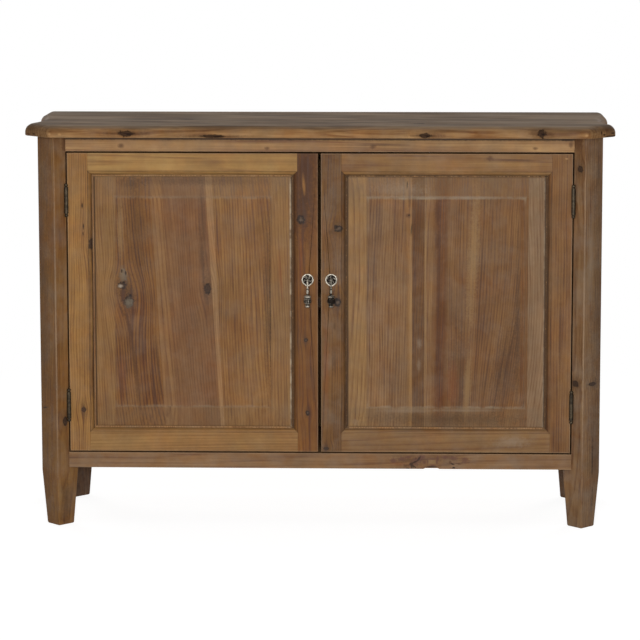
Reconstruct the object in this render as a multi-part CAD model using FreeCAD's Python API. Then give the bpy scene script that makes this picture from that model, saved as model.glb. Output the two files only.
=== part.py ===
import FreeCAD, Part
import math
import os

# Low two-door jelly cupboard in reclaimed pine. Millimetres, +X to the right seen from the front,
# +Y to the back, +Z up, origin on the floor under the middle of the cupboard.

# Whole cupboard and its top board
cupboard_height = 838.0
top_length = 1210.0
top_depth = 406.0
top_thickness = 24.0
top_edge_radius = 17.0
top_under_radius = 2.5
ear_cant = 55.0
ear_tip = 24.0
ear_corner_radius = 20.0
scoop_length = 215.0
scoop_depth = 18.0
back_corner_radius = 19.0
level_share = 0.01

# Corner posts, square and turned 45 degrees, with tapered feet
post_side = 54.0
foot_side = 40.0
foot_bevel = 2.0
taper_height = 114.0
post_arris_radius = 2.0
post_side_overhang = 23.8
post_front_overhang = 28.8
face_setback = 21.5

# Rails of the carcase, their tenons, and the panels that run in their grooves
rail_height = 32.0
rail_thickness = 24.0
rail_clearance_below = 122.0
tenon_length = 19.0
tenon_thickness = 8.0
tenon_height = 17.0
tenon_shoulder = 3.0
joint_clearance = 0.1
tenon_end_clearance = 1.0
panel_thickness = 10.0
panel_groove_depth = 8.0
panel_play = 0.3
back_board_count = 7
back_board_chamfer = 2.0

# Waney scallop in the lower edge of the front bottom rail
wane_offset = 232.0
wane_length = 34.0
wane_depth = 4.0
wane_reach = 9.0

# Inside boards, their cleats and the blocks that hold the top
bottom_board_thickness = 18.0
bottom_cleat_width = 16.0
shelf_rise = 301.0
shelf_thickness = 20.0
shelf_setback = 18.0
shelf_cleat_width = 16.0
shelf_cleat_height = 24.0
board_clearance = 0.6
block_length = 44.0
block_width = 28.0
block_height = 26.0
block_spread_share = 0.25
block_screw_length = 40.0
block_screw_radius = 2.0
block_screw_head_radius = 4.0

# Doors
door_thickness = 22.0
door_side_gap = 3.0
door_end_gap = 3.3
meeting_gap = 6.6
stile_width = 42.0
door_bottom_rail_width = 40.0
door_top_rail_width = 37.0
sticking_width = 12.0
sticking_quirk = 1.2
sticking_radius = 7.0
groove_front = 9.0
groove_width = 6.4
door_groove_depth = 9.0
door_tenon_length = 25.0
door_tenon_shoulder = 8.0
bevel_width = 42.0
field_recess = 2.2
field_step = 1.8

# Butt hinges with ball tips
hinge_height = 54.0
hinge_inset = 97.0
hinge_leaf_width = 20.0
leaf_gap = 0.2
knuckle_radius = 4.4
knuckle_clearance = 0.35
knuckle_count = 5
knuckle_gap = 0.3
pin_radius = 2.2
pin_fit = 0.05
ball_radius = 3.9
ball_collar_radius = 3.2
ball_collar_height = 1.0
hinge_screw_count = 3
hinge_screw_head_radius = 3.0
hinge_screw_radius = 1.5
hinge_screw_length = 16.0
screw_fit = 0.05
leaf_screw_share = 0.58

# Drop pulls
pull_rise = 360.5
rosette_radius = 12.8
rosette_thickness = 2.0
rosette_dome_radius = 7.2
rosette_dome_height = 1.6
dome_top_share = 0.65
petal_count = 10
petal_share = 0.24
rosette_point_share = 1.14
drop_door_clearance = 2.2
stud_radius = 2.0
stud_neck_radius = 3.6
stud_length_past_nut = 2.0
ear_radius = 3.2
ear_thickness = 1.4
pivot_radius = 1.3
pivot_fit = 0.05
drop_eye_radius = 3.0
drop_eye_thickness = 2.2
drop_side_clearance = 0.4
drop_length = 57.0
drop_stem_radius = 1.7
drop_bead_radius = 2.9
drop_collar_radius = 4.6
drop_bulb_radius = 8.0
drop_button_radius = 4.6
bead_share = 0.34
collar_share = 0.52
bulb_share = 0.70
nut_radius = 4.0
nut_thickness = 3.2

# Magnetic catches on the shelf's front edge and their strikes on the doors
catch_length = 44.0
catch_height = 14.0
catch_gap = 0.3
catch_offset = 27.0
strike_length = 36.0
strike_height = 12.0
strike_thickness = 1.2

# One overrun serves all cuts
overrun = 1.0

# Places worked out from the sizes above
root_two = math.sqrt(2)
post_half = post_side / root_two
foot_half = foot_side / root_two
post_x = top_length / 2 - post_side_overhang - post_half
post_y = top_depth / 2 - post_front_overhang - post_half
post_height = cupboard_height - top_thickness
face_half = post_half - face_setback
front_y = -(post_y + face_half)
back_y = post_y + face_half
side_x = post_x + face_half
flat_x = post_x - face_setback
flat_y = post_y - face_setback
bottom_rail_top = rail_clearance_below + rail_height
top_rail_bottom = post_height - rail_height
rail_inner_y = post_y + face_half - rail_thickness
rail_inner_x = side_x - rail_thickness
panel_x = side_x - rail_thickness / 2
panel_y = back_y - rail_thickness / 2
side_panel_inner = panel_x - panel_thickness / 2
back_panel_inner = panel_y - panel_thickness / 2
groove_half = panel_thickness / 2 + panel_play
panel_reach = panel_groove_depth - panel_play
door_inner_x = meeting_gap / 2
door_outer_x = flat_x - door_side_gap
door_bottom = bottom_rail_top + door_end_gap
door_top = top_rail_bottom - door_end_gap
door_back_y = front_y + door_thickness
shelf_bottom = bottom_rail_top + shelf_rise
shelf_front_y = door_back_y + shelf_setback
leaf_thickness = (door_side_gap - leaf_gap) / 2
hinge_x = flat_x - door_side_gap / 2
hinge_y = front_y - (knuckle_radius + knuckle_clearance) * root_two + door_side_gap / 2
pull_x = door_inner_x + stile_width / 2
pull_z = door_bottom + pull_rise
pivot_y = front_y - drop_door_clearance - drop_bulb_radius


def vec(x, y, z):
    return FreeCAD.Vector(x, y, z)


def slab(x0, x1, y0, y1, z0, z1):
    """A box between two corners, given in any order."""
    low = vec(min(x0, x1), min(y0, y1), min(z0, z1))
    return Part.makeBox(abs(x1 - x0), abs(y1 - y0), abs(z1 - z0), low)


def rod(radius, length, start, direction):
    return Part.makeCylinder(radius, length, start, direction)


def prism(points, direction):
    """A solid with a polygon for its end, carried along a direction."""
    return Part.Face(Part.makePolygon(points + points[:1])).extrude(direction)


def join(first, *others):
    return first.fuse(list(others)).removeSplitter()


def mirror_x(shape):
    return shape.mirror(vec(0, 0, 0), vec(1, 0, 0))


def mirror_y(shape):
    return shape.mirror(vec(0, 0, 0), vec(0, 1, 0))


def countersunk(start, direction, head_radius, shank_radius, length, grow=0):
    """A countersunk screw with its flat head at start, or the hole for one when it is grown."""
    head_depth = head_radius - shank_radius
    head = Part.makeCone(head_radius + grow, shank_radius + grow, head_depth, start, direction)
    return join(head, rod(shank_radius + grow, length + grow, start, direction))


def upright_edges(shape):
    return [edge for edge in shape.Edges if edge.BoundBox.ZLength > top_thickness / 2]


def edges_at(shape, height):
    """The edges of the top board that lie in one level plane."""
    slack = top_thickness * level_share
    boxes = [(edge, edge.BoundBox) for edge in shape.Edges]
    return [edge for edge, box in boxes if abs(box.ZMin - height) < slack and abs(box.ZMax - height) < slack]


def top_board():
    """Flat top with canted front ears, scooped sides and a quarter-round edge."""
    half = top_length / 2
    front = -top_depth / 2
    back = top_depth / 2
    tip_start = front + ear_cant
    tip_end = tip_start + ear_tip
    scoop_end = tip_end + scoop_length
    scoop_middle = (tip_end + scoop_end) / 2

    def point(x, y):
        return vec(x, y, post_height)

    edges = [Part.makeLine(point(-half + ear_cant, front), point(half - ear_cant, front))]
    edges.append(Part.makeLine(point(half - ear_cant, front), point(half, tip_start)))
    edges.append(Part.makeLine(point(half, tip_start), point(half, tip_end)))
    scoop = Part.Arc(point(half, tip_end), point(half - scoop_depth, scoop_middle), point(half, scoop_end))
    edges.append(scoop.toShape())
    edges.append(Part.makeLine(point(half, scoop_end), point(half, back)))
    edges.append(Part.makeLine(point(half, back), point(-half, back)))
    edges.append(Part.makeLine(point(-half, back), point(-half, scoop_end)))
    scoop = Part.Arc(point(-half, scoop_end), point(-half + scoop_depth, scoop_middle), point(-half, tip_end))
    edges.append(scoop.toShape())
    edges.append(Part.makeLine(point(-half, tip_end), point(-half, tip_start)))
    edges.append(Part.makeLine(point(-half, tip_start), point(-half + ear_cant, front)))
    board = Part.Face(Part.Wire(edges)).extrude(vec(0, 0, top_thickness))
    back_corners = [edge for edge in upright_edges(board) if edge.BoundBox.YMin > scoop_end + ear_tip]
    board = board.makeFillet(back_corner_radius, back_corners)
    ears = [edge for edge in upright_edges(board) if edge.BoundBox.YMax < scoop_end + ear_tip]
    board = board.makeFillet(ear_corner_radius, ears)
    board = board.makeFillet(top_edge_radius, edges_at(board, cupboard_height))
    board = board.makeFillet(top_under_radius, edges_at(board, post_height))
    return board.cut(block_screws(screw_fit))


def diamond(half_diagonal, height):
    """A square turned 45 degrees with rounded arrises, as a wire at one height."""
    centre = vec(post_x, -post_y, height)
    corners = [centre + vec(half_diagonal, 0, 0), centre + vec(0, half_diagonal, 0)]
    corners += [centre - vec(half_diagonal, 0, 0), centre - vec(0, half_diagonal, 0)]
    edges = []
    for index, corner in enumerate(corners):
        before = corners[index - 1]
        after = corners[(index + 1) % len(corners)]
        arc_start = corner + (before - corner).normalize() * post_arris_radius
        arc_end = corner + (after - corner).normalize() * post_arris_radius
        inward = (centre - corner).normalize()
        crown = corner + inward * post_arris_radius * (root_two - 1)
        next_start = after - (after - corner).normalize() * post_arris_radius
        edges.append(Part.Arc(arc_start, crown, arc_end).toShape())
        edges.append(Part.makeLine(arc_end, next_start))
    return Part.Wire(edges)


def tenon_heights(rail_bottom, grooved_at_top, grooved_at_bottom):
    """Bottom and top of a rail's tenon, clear of the groove in the rail's edge."""
    if grooved_at_top:
        low = rail_bottom + tenon_shoulder
        return low, low + tenon_height
    if grooved_at_bottom:
        high = rail_bottom + rail_height - tenon_shoulder
        return high - tenon_height, high
    middle = rail_bottom + rail_height / 2
    return middle - tenon_height / 2, middle + tenon_height / 2


def cross_tenon(low, high, grow):
    """The right-hand tenon of a front rail, or its mortise when it is grown."""
    middle = front_y + rail_thickness / 2
    half = tenon_thickness / 2 + grow
    end = flat_x + tenon_length + (tenon_end_clearance if grow else 0)
    return slab(flat_x, end, middle - half, middle + half, low - grow, high + grow)


def side_tenon(low, high, grow):
    """The front tenon of a right-hand side rail, or its mortise when it is grown."""
    half = tenon_thickness / 2 + grow
    end = -flat_y - tenon_length - (tenon_end_clearance if grow else 0)
    return slab(panel_x - half, panel_x + half, -flat_y, end, low - grow, high + grow)


def bare_post(grooved_for_back):
    """The front right post without its hinge screws, shaped to turn into a back post by mirroring."""
    sections = [diamond(foot_half - foot_bevel, 0), diamond(foot_half, foot_bevel)]
    sections += [diamond(post_half, taper_height), diamond(post_half, post_height)]
    post = Part.makeLoft(sections, True, True)
    low = rail_clearance_below
    high = post_height + overrun
    reach = post_half + overrun
    post = post.cut(slab(post_x - reach, flat_x, -post_y - reach, -post_y + reach, low, high))
    post = post.cut(slab(post_x - reach, post_x + reach, -flat_y, -post_y + reach, low, high))
    for bottom, is_lower in ((rail_clearance_below, True), (top_rail_bottom, False)):
        side_low, side_high = tenon_heights(bottom, is_lower, not is_lower)
        post = post.cut(side_tenon(side_low, side_high, joint_clearance))
        grooves = (is_lower, not is_lower) if grooved_for_back else (False, False)
        front_low, front_high = tenon_heights(bottom, *grooves)
        post = post.cut(cross_tenon(front_low, front_high, joint_clearance))
    low = bottom_rail_top - panel_groove_depth
    high = top_rail_bottom + panel_groove_depth
    end = -flat_y - panel_groove_depth
    post = post.cut(slab(panel_x - groove_half, panel_x + groove_half, -flat_y, end, low, high))
    if grooved_for_back:
        end = flat_x + panel_groove_depth
        post = post.cut(slab(flat_x, end, -panel_y - groove_half, -panel_y + groove_half, low, high))
    return post


def front_rail(bottom):
    """A rail between the front posts, with a tenon at each end."""
    body = slab(-flat_x, flat_x, front_y, front_y + rail_thickness, bottom, bottom + rail_height)
    low, high = tenon_heights(bottom, False, False)
    tenon = cross_tenon(low, high, 0)
    return join(body, tenon, mirror_x(tenon))


def waney_rail():
    """The front bottom rail, with the natural scallop in its lower front edge."""
    rail = front_rail(rail_clearance_below)
    radius = (wane_length * wane_length / 4 + wane_depth * wane_depth) / (2 * wane_depth)
    centre = vec(wane_offset, front_y - overrun, rail_clearance_below + wane_depth - radius)
    return rail.cut(rod(radius, wane_reach + overrun, centre, vec(0, 1, 0)))


def back_rail(bottom, is_lower):
    """A rail between the back posts, grooved for the back boards."""
    body = slab(-flat_x, flat_x, rail_inner_y, back_y, bottom, bottom + rail_height)
    edge = bottom + rail_height if is_lower else bottom
    groove_end = edge - panel_groove_depth if is_lower else edge + panel_groove_depth
    body = body.cut(slab(-flat_x, flat_x, panel_y - groove_half, panel_y + groove_half, edge, groove_end))
    low, high = tenon_heights(bottom, is_lower, not is_lower)
    tenon = mirror_y(cross_tenon(low, high, 0))
    return join(body, tenon, mirror_x(tenon))


def side_rail(bottom, is_lower):
    """A right-hand side rail, grooved for the side panel."""
    body = slab(rail_inner_x, side_x, -flat_y, flat_y, bottom, bottom + rail_height)
    edge = bottom + rail_height if is_lower else bottom
    groove_end = edge - panel_groove_depth if is_lower else edge + panel_groove_depth
    body = body.cut(slab(panel_x - groove_half, panel_x + groove_half, -flat_y, flat_y, edge, groove_end))
    low, high = tenon_heights(bottom, is_lower, not is_lower)
    tenon = side_tenon(low, high, 0)
    return join(body, tenon, mirror_y(tenon))


def side_panel():
    low = bottom_rail_top - panel_reach
    high = top_rail_bottom + panel_reach
    reach = flat_y + panel_reach
    return slab(panel_x - panel_thickness / 2, panel_x + panel_thickness / 2, -reach, reach, low, high)


def back_boards():
    """Upright boards side by side in the back's grooves, chamfered where they meet."""
    low = bottom_rail_top - panel_reach
    high = top_rail_bottom + panel_reach
    left = -flat_x - panel_reach
    pitch = 2 * (flat_x + panel_reach) / back_board_count
    outer = panel_y + panel_thickness / 2
    boards = []
    for index in range(back_board_count):
        start = left + index * pitch
        end = start + pitch - panel_play
        corners = [vec(start, back_panel_inner, low), vec(end, back_panel_inner, low)]
        corners += [vec(end, outer - back_board_chamfer, low), vec(end - back_board_chamfer, outer, low)]
        corners += [vec(start + back_board_chamfer, outer, low), vec(start, outer - back_board_chamfer, low)]
        boards.append(prism(corners, vec(0, 0, high - low)))
    return Part.makeCompound(boards)


def bottom_board():
    """The floor of the cupboard, between the rails and notched round the posts."""
    top = bottom_rail_top
    low = top - bottom_board_thickness
    board = slab(-rail_inner_x, rail_inner_x, -rail_inner_y, rail_inner_y, low, top)
    near_x = flat_x - board_clearance
    near_y = flat_y - board_clearance
    far_x = rail_inner_x + overrun
    far_y = rail_inner_y + overrun
    for x in (-1, 1):
        for y in (-1, 1):
            board = board.cut(slab(x * near_x, x * far_x, y * near_y, y * far_y, low, top))
    return board


def bottom_cleats():
    """Strips inside the front and back bottom rails that carry the floor."""
    high = bottom_rail_top - bottom_board_thickness
    half = flat_x - board_clearance
    inner = rail_inner_y - bottom_cleat_width
    front = slab(-half, half, -rail_inner_y, -inner, rail_clearance_below, high)
    return Part.makeCompound([front, mirror_y(front)])


def shelf():
    """A fixed shelf on two cleats, notched round the back posts."""
    half = side_panel_inner - board_clearance
    back = back_panel_inner - board_clearance
    top = shelf_bottom + shelf_thickness
    board = slab(-half, half, shelf_front_y, back, shelf_bottom, top)
    near_x = flat_x - board_clearance
    near_y = flat_y - board_clearance
    far_x = half + overrun
    for x in (-1, 1):
        board = board.cut(slab(x * near_x, x * far_x, near_y, back + overrun, shelf_bottom, top))
    return board


def shelf_cleat():
    inner = side_panel_inner - shelf_cleat_width
    reach = flat_y - board_clearance
    return slab(inner, side_panel_inner, -reach, reach, shelf_bottom - shelf_cleat_height, shelf_bottom)


def block_places():
    """Centres of the blocks inside the top rails, and whether each runs along X."""
    spread = top_length * block_spread_share
    along_x = rail_inner_y - block_width / 2
    along_y = rail_inner_x - block_width / 2
    places = [(x, y, True) for x in (-spread, spread) for y in (-along_x, along_x)]
    return places + [(-along_y, 0, False), (along_y, 0, False)]


def block_screws(grow=0):
    """Screws that go up through the blocks into the top, or their holes when they are grown."""
    start = post_height - block_height
    screws = []
    for x, y, along_x in block_places():
        place = vec(x, y, start)
        sizes = (block_screw_head_radius, block_screw_radius, block_screw_length)
        screws.append(countersunk(place, vec(0, 0, 1), *sizes, grow))
    return Part.makeCompound(screws)


def top_blocks():
    """Blocks screwed in the corner between the top rails and the top board."""
    holes = block_screws(screw_fit)
    blocks = []
    for x, y, along_x in block_places():
        half_x = (block_length if along_x else block_width) / 2
        half_y = (block_width if along_x else block_length) / 2
        block = slab(x - half_x, x + half_x, y - half_y, y + half_y, post_height - block_height, post_height)
        blocks.append(block.cut(holes))
    return Part.makeCompound(blocks)


# Right-hand door: the outlines of its flat, of its sight opening and of the raised field
flat_rect = (door_inner_x + stile_width, door_outer_x - stile_width)
flat_rect += (door_bottom + door_bottom_rail_width, door_top - door_top_rail_width)


def inset(rect, distance):
    return rect[0] + distance, rect[1] - distance, rect[2] + distance, rect[3] - distance


sight_rect = inset(flat_rect, sticking_width)
field_rect = inset(sight_rect, bevel_width)


def frame_member(origin, across, along, flat_width, length):
    """A door frame piece: flat, quirked ovolo sticking and panel groove, carried along its length."""
    width = flat_width + sticking_width
    bed = sticking_quirk + sticking_radius
    slope = sticking_radius * (1 - math.sqrt(0.5))

    def point(out, depth):
        return origin + across * out + vec(0, depth, 0)

    arc_start = point(flat_width, sticking_quirk)
    arc_end = point(flat_width + sticking_radius, bed)
    arc_middle = point(flat_width + sticking_radius - slope, sticking_quirk + slope)
    path = [arc_end, point(width, bed), point(width, groove_front)]
    path += [point(width - door_groove_depth, groove_front)]
    path += [point(width - door_groove_depth, groove_front + groove_width)]
    path += [point(width, groove_front + groove_width), point(width, door_thickness)]
    path += [point(0, door_thickness), point(0, 0), point(flat_width, 0), arc_start]
    edges = [Part.makeLine(start, end) for start, end in zip(path, path[1:])]
    edges.append(Part.Arc(arc_start, arc_middle, arc_end).toShape())
    return Part.Face(Part.Wire(edges)).extrude(along * length)


def door_tenon(shoulder_x, outward, low, high, grow):
    """A tenon at the end of a door rail, or its mortise when it is grown."""
    end = shoulder_x + outward * (door_tenon_length + (tenon_end_clearance if grow else 0))
    near = front_y + groove_front - grow
    far = front_y + groove_front + groove_width + grow
    return slab(shoulder_x, end, near, far, low - grow, high + grow)


def tenon_spans():
    """Heights of the tenons of the bottom and top door rails."""
    low = (door_bottom + door_tenon_shoulder, flat_rect[2] - door_tenon_shoulder)
    high = (flat_rect[3] + door_tenon_shoulder, door_top - door_tenon_shoulder)
    return low, high


def door_stile(outer_x, flat_edge, sight_edge):
    """A stile over the door's full height, mitred at its sticking and mortised for the rails."""
    inward = 1 if flat_edge > outer_x else -1
    length = door_top - door_bottom
    origin = vec(outer_x, front_y, door_bottom)
    member = frame_member(origin, vec(inward, 0, 0), vec(0, 0, 1), stile_width, length)
    near = front_y - overrun
    corners = [vec(outer_x, near, door_bottom), vec(flat_edge, near, door_bottom)]
    corners += [vec(flat_edge, near, flat_rect[2]), vec(sight_edge, near, sight_rect[2])]
    corners += [vec(sight_edge, near, sight_rect[3]), vec(flat_edge, near, flat_rect[3])]
    corners += [vec(flat_edge, near, door_top), vec(outer_x, near, door_top)]
    stile = member.common(prism(corners, vec(0, door_thickness + 2 * overrun, 0)))
    for low, high in tenon_spans():
        stile = stile.cut(door_tenon(flat_edge, -inward, low, high, joint_clearance))
    return stile


def door_rail(outer_z, flat_edge, sight_edge, span):
    """A rail between the stiles, mitred at its sticking, with a tenon at each end."""
    upward = 1 if flat_edge > outer_z else -1
    origin = vec(flat_rect[0], front_y, outer_z)
    length = flat_rect[1] - flat_rect[0]
    member = frame_member(origin, vec(0, 0, upward), vec(1, 0, 0), abs(flat_edge - outer_z), length)
    near = front_y - overrun
    corners = [vec(flat_rect[0], near, outer_z), vec(flat_rect[1], near, outer_z)]
    corners += [vec(flat_rect[1], near, flat_edge), vec(sight_rect[1], near, sight_edge)]
    corners += [vec(sight_rect[0], near, sight_edge), vec(flat_rect[0], near, flat_edge)]
    rail = member.common(prism(corners, vec(0, door_thickness + 2 * overrun, 0)))
    left_tenon = door_tenon(flat_rect[0], -1, span[0], span[1], 0)
    right_tenon = door_tenon(flat_rect[1], 1, span[0], span[1], 0)
    return join(rail, left_tenon, right_tenon)


def door_panel():
    """A raised and fielded panel whose tongue runs in the frame's groove."""
    tongue = inset(sight_rect, panel_play - door_groove_depth)
    tongue_front = front_y + groove_front + panel_play / 2
    tongue_back = front_y + groove_front + groove_width - panel_play / 2
    field_front = front_y + field_recess
    bevel_top = field_front + field_step

    def outline(rect, y):
        corners = [vec(rect[0], y, rect[2]), vec(rect[1], y, rect[2])]
        corners += [vec(rect[1], y, rect[3]), vec(rect[0], y, rect[3])]
        return Part.makePolygon(corners + corners[:1])

    plate = slab(tongue[0], tongue[1], tongue_front, tongue_back, tongue[2], tongue[3])
    bevel = Part.makeLoft([outline(sight_rect, tongue_front), outline(field_rect, bevel_top)], True, True)
    field = slab(field_rect[0], field_rect[1], field_front, bevel_top, field_rect[2], field_rect[3])
    return join(plate, bevel, field)


def hinge_places():
    return door_top - hinge_inset, door_bottom + hinge_inset


def leaf_screws(middle, on_door, grow=0):
    """Countersunk screws of one right-hand hinge leaf, or their holes when they are grown."""
    pitch = hinge_height / hinge_screw_count
    start_x = door_outer_x + leaf_thickness if on_door else flat_x - leaf_thickness
    direction = vec(-1 if on_door else 1, 0, 0)
    y = front_y + hinge_leaf_width * leaf_screw_share
    screws = []
    for index in range(hinge_screw_count):
        z = middle + (index - (hinge_screw_count - 1) / 2) * pitch
        sizes = (hinge_screw_head_radius, hinge_screw_radius, hinge_screw_length)
        screws.append(countersunk(vec(start_x, y, z), direction, *sizes, grow))
    return screws


def hinge_leaf(middle, on_door):
    """A leaf on the door's edge or on the post, with its share of the knuckles."""
    low = middle - hinge_height / 2
    start_x = door_outer_x if on_door else flat_x - leaf_thickness
    end_x = start_x + leaf_thickness
    leaf = slab(start_x, end_x, front_y, front_y + hinge_leaf_width, low, low + hinge_height)
    bore = pin_radius + pin_fit
    bite = hinge_y + (bore + knuckle_radius) / 2
    length = (hinge_height - (knuckle_count - 1) * knuckle_gap) / knuckle_count
    pieces = []
    for index in range(knuckle_count):
        if (index % 2 == 1) != on_door:
            continue
        start = low + index * (length + knuckle_gap)
        barrel = rod(knuckle_radius, length, vec(hinge_x, hinge_y, start), vec(0, 0, 1))
        pieces += [barrel, slab(start_x, end_x, bite, front_y, start, start + length)]
    leaf = join(leaf, *pieces)
    leaf = leaf.cut(rod(bore, hinge_height, vec(hinge_x, hinge_y, low), vec(0, 0, 1)))
    return leaf.cut(leaf_screws(middle, on_door, screw_fit))


def hinge_pin(middle):
    """The pin of a hinge, with a collar and a ball at each end."""
    low = middle - hinge_height / 2
    up = vec(0, 0, 1)
    pieces = []
    for end, direction in ((low, -1), (low + hinge_height, 1)):
        rise = ball_radius + ball_collar_height / 2
        place = vec(hinge_x, hinge_y, end)
        pieces.append(rod(ball_collar_radius, ball_collar_height, place, up * direction))
        pieces.append(Part.makeSphere(ball_radius, place + up * direction * rise))
    return join(rod(pin_radius, hinge_height, vec(hinge_x, hinge_y, low), up), *pieces)


def rosette():
    """Backplate of a pull: a scalloped flower with a pointed foot and a domed middle."""
    centre = vec(pull_x, front_y, pull_z)
    forward = vec(0, -1, 0)
    petal = rosette_radius * petal_share
    ring = rosette_radius - petal
    plate = rod(ring, rosette_thickness, centre, forward)
    petals = []
    for index in range(petal_count):
        angle = 2 * math.pi * (index + 0.5) / petal_count
        place = centre + vec(ring * math.cos(angle), 0, ring * math.sin(angle))
        petals.append(rod(petal, rosette_thickness, place, forward))
    tip = centre - vec(0, 0, rosette_radius * rosette_point_share)
    foot = prism([tip, centre + vec(ring / root_two, 0, -ring / root_two),
                  centre + vec(-ring / root_two, 0, -ring / root_two)], forward * rosette_thickness)
    dome = Part.makeCone(rosette_dome_radius, rosette_dome_radius * dome_top_share, rosette_dome_height,
                         centre + forward * rosette_thickness, forward)
    plate = join(plate, foot, dome, *petals)
    reach = rosette_thickness + rosette_dome_height + overrun
    return plate.cut(rod(stud_neck_radius + screw_fit, reach, centre, forward))


def stud_back():
    return door_back_y + nut_thickness + stud_length_past_nut


def pull_stud():
    """Stud through the door, with two ears and the cross pin that the drop hangs on."""
    back = vec(0, 1, 0)
    fork_inner = drop_eye_thickness / 2 + drop_side_clearance
    fork_outer = fork_inner + ear_thickness
    heel = pivot_y + ear_radius + drop_side_clearance
    shank = rod(stud_radius, stud_back() - front_y, vec(pull_x, front_y, pull_z), back)
    neck = rod(stud_neck_radius, front_y - heel, vec(pull_x, heel, pull_z), back)
    pieces = [shank, neck]
    arm_end = heel + drop_side_clearance
    arm_low = pull_z - ear_radius / 2
    arm_high = pull_z + ear_radius / 2
    for start in (pull_x - fork_outer, pull_x + fork_inner):
        pieces.append(rod(ear_radius, ear_thickness, vec(start, pivot_y, pull_z), vec(1, 0, 0)))
        pieces.append(slab(start, start + ear_thickness, pivot_y, arm_end, arm_low, arm_high))
    cross_pin = rod(pivot_radius, 2 * fork_outer, vec(pull_x - fork_outer, pivot_y, pull_z), vec(1, 0, 0))
    return join(cross_pin, *pieces)


def pull_drop():
    """Turned drop that hangs from the stud: eye, stem, bead, collar, bulb and end button."""
    down = vec(0, 0, -1)
    top = vec(pull_x, pivot_y, pull_z)
    eye_start = vec(pull_x - drop_eye_thickness / 2, pivot_y, pull_z)
    eye = rod(drop_eye_radius, drop_eye_thickness, eye_start, vec(1, 0, 0))
    button_z = drop_length - drop_button_radius
    bulb_z = drop_length * bulb_share
    collar_z = drop_length * collar_share
    web = slab(pull_x - drop_eye_thickness / 2, pull_x + drop_eye_thickness / 2, pivot_y - drop_stem_radius,
               pivot_y + drop_stem_radius, pull_z - drop_eye_radius - ear_radius, pull_z)
    stem_start = ear_radius + drop_side_clearance
    stem = rod(drop_stem_radius, button_z - stem_start, top + down * stem_start, down)
    bead = Part.makeSphere(drop_bead_radius, top + down * drop_length * bead_share)
    collar_place = top + down * collar_z
    collar = Part.makeCone(drop_stem_radius, drop_collar_radius, bulb_z - collar_z, collar_place, down)
    bulb = Part.makeSphere(drop_bulb_radius, top + down * bulb_z)
    button = Part.makeSphere(drop_button_radius, top + down * button_z)
    drop = join(eye, web, stem, bead, collar, bulb, button)
    hole_start = vec(pull_x - drop_eye_thickness, pivot_y, pull_z)
    return drop.cut(rod(pivot_radius + pivot_fit, 2 * drop_eye_thickness, hole_start, vec(1, 0, 0)))


def pull_nut():
    """Hexagon nut on the stud inside the door."""
    centre = vec(pull_x, door_back_y, pull_z)
    corners = []
    for index in range(6):
        angle = math.pi * index / 3
        corners.append(centre + vec(math.cos(angle), 0, math.sin(angle)) * nut_radius)
    nut = prism(corners, vec(0, nut_thickness, 0))
    return nut.cut(rod(stud_radius + screw_fit, nut_thickness, centre, vec(0, 1, 0)))


def magnetic_catch():
    """Catch on the shelf's front edge, just clear of the strike on the door."""
    middle = shelf_bottom + shelf_thickness / 2
    near = door_back_y + strike_thickness + catch_gap
    half = catch_length / 2
    low = middle - catch_height / 2
    return slab(catch_offset - half, catch_offset + half, near, shelf_front_y, low, low + catch_height)


def strike_plate():
    middle = shelf_bottom + shelf_thickness / 2
    half = strike_length / 2
    low = middle - strike_height / 2
    far = door_back_y + strike_thickness
    return slab(catch_offset - half, catch_offset + half, door_back_y, far, low, low + strike_height)


def save(name, shape):
    shape.exportStep("parts/" + name + ".step")


def save_pair(name, right_shape):
    """Write a right-hand piece and its mirror image for the left."""
    save("right_" + name, right_shape)
    save("left_" + name, mirror_x(right_shape))


def save_carcase():
    front_post = bare_post(False)
    for middle in hinge_places():
        front_post = front_post.cut(leaf_screws(middle, False, screw_fit))
    save("front_right_post", front_post)
    save("front_left_post", mirror_x(front_post))
    back_post = mirror_y(bare_post(True))
    save("back_right_post", back_post)
    save("back_left_post", mirror_x(back_post))
    save("top_board", top_board())
    save("front_top_rail", front_rail(top_rail_bottom))
    save("front_bottom_rail", waney_rail())
    save("back_top_rail", back_rail(top_rail_bottom, False))
    save("back_bottom_rail", back_rail(rail_clearance_below, True))
    save("back_boards", back_boards())
    save_pair("side_top_rail", side_rail(top_rail_bottom, False))
    save_pair("side_bottom_rail", side_rail(rail_clearance_below, True))
    save_pair("side_panel", side_panel())
    save("bottom_board", bottom_board())
    save("bottom_cleats", bottom_cleats())
    save("shelf", shelf())
    save_pair("shelf_cleat", shelf_cleat())
    save("top_fixing_blocks", top_blocks())
    save("top_fixing_screws", block_screws())


def save_doors():
    hinge_stile = door_stile(door_outer_x, flat_rect[1], sight_rect[1])
    meeting_stile = door_stile(door_inner_x, flat_rect[0], sight_rect[0])
    for middle in hinge_places():
        hinge_stile = hinge_stile.cut(leaf_screws(middle, True, screw_fit))
    stud_hole = rod(stud_radius + screw_fit, door_thickness, vec(pull_x, front_y, pull_z), vec(0, 1, 0))
    low_span, high_span = tenon_spans()
    save_pair("door_hinge_stile", hinge_stile)
    save_pair("door_meeting_stile", meeting_stile.cut(stud_hole))
    save_pair("door_bottom_rail", door_rail(door_bottom, flat_rect[2], sight_rect[2], low_span))
    save_pair("door_top_rail", door_rail(door_top, flat_rect[3], sight_rect[3], high_span))
    save_pair("door_panel", door_panel())


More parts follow.
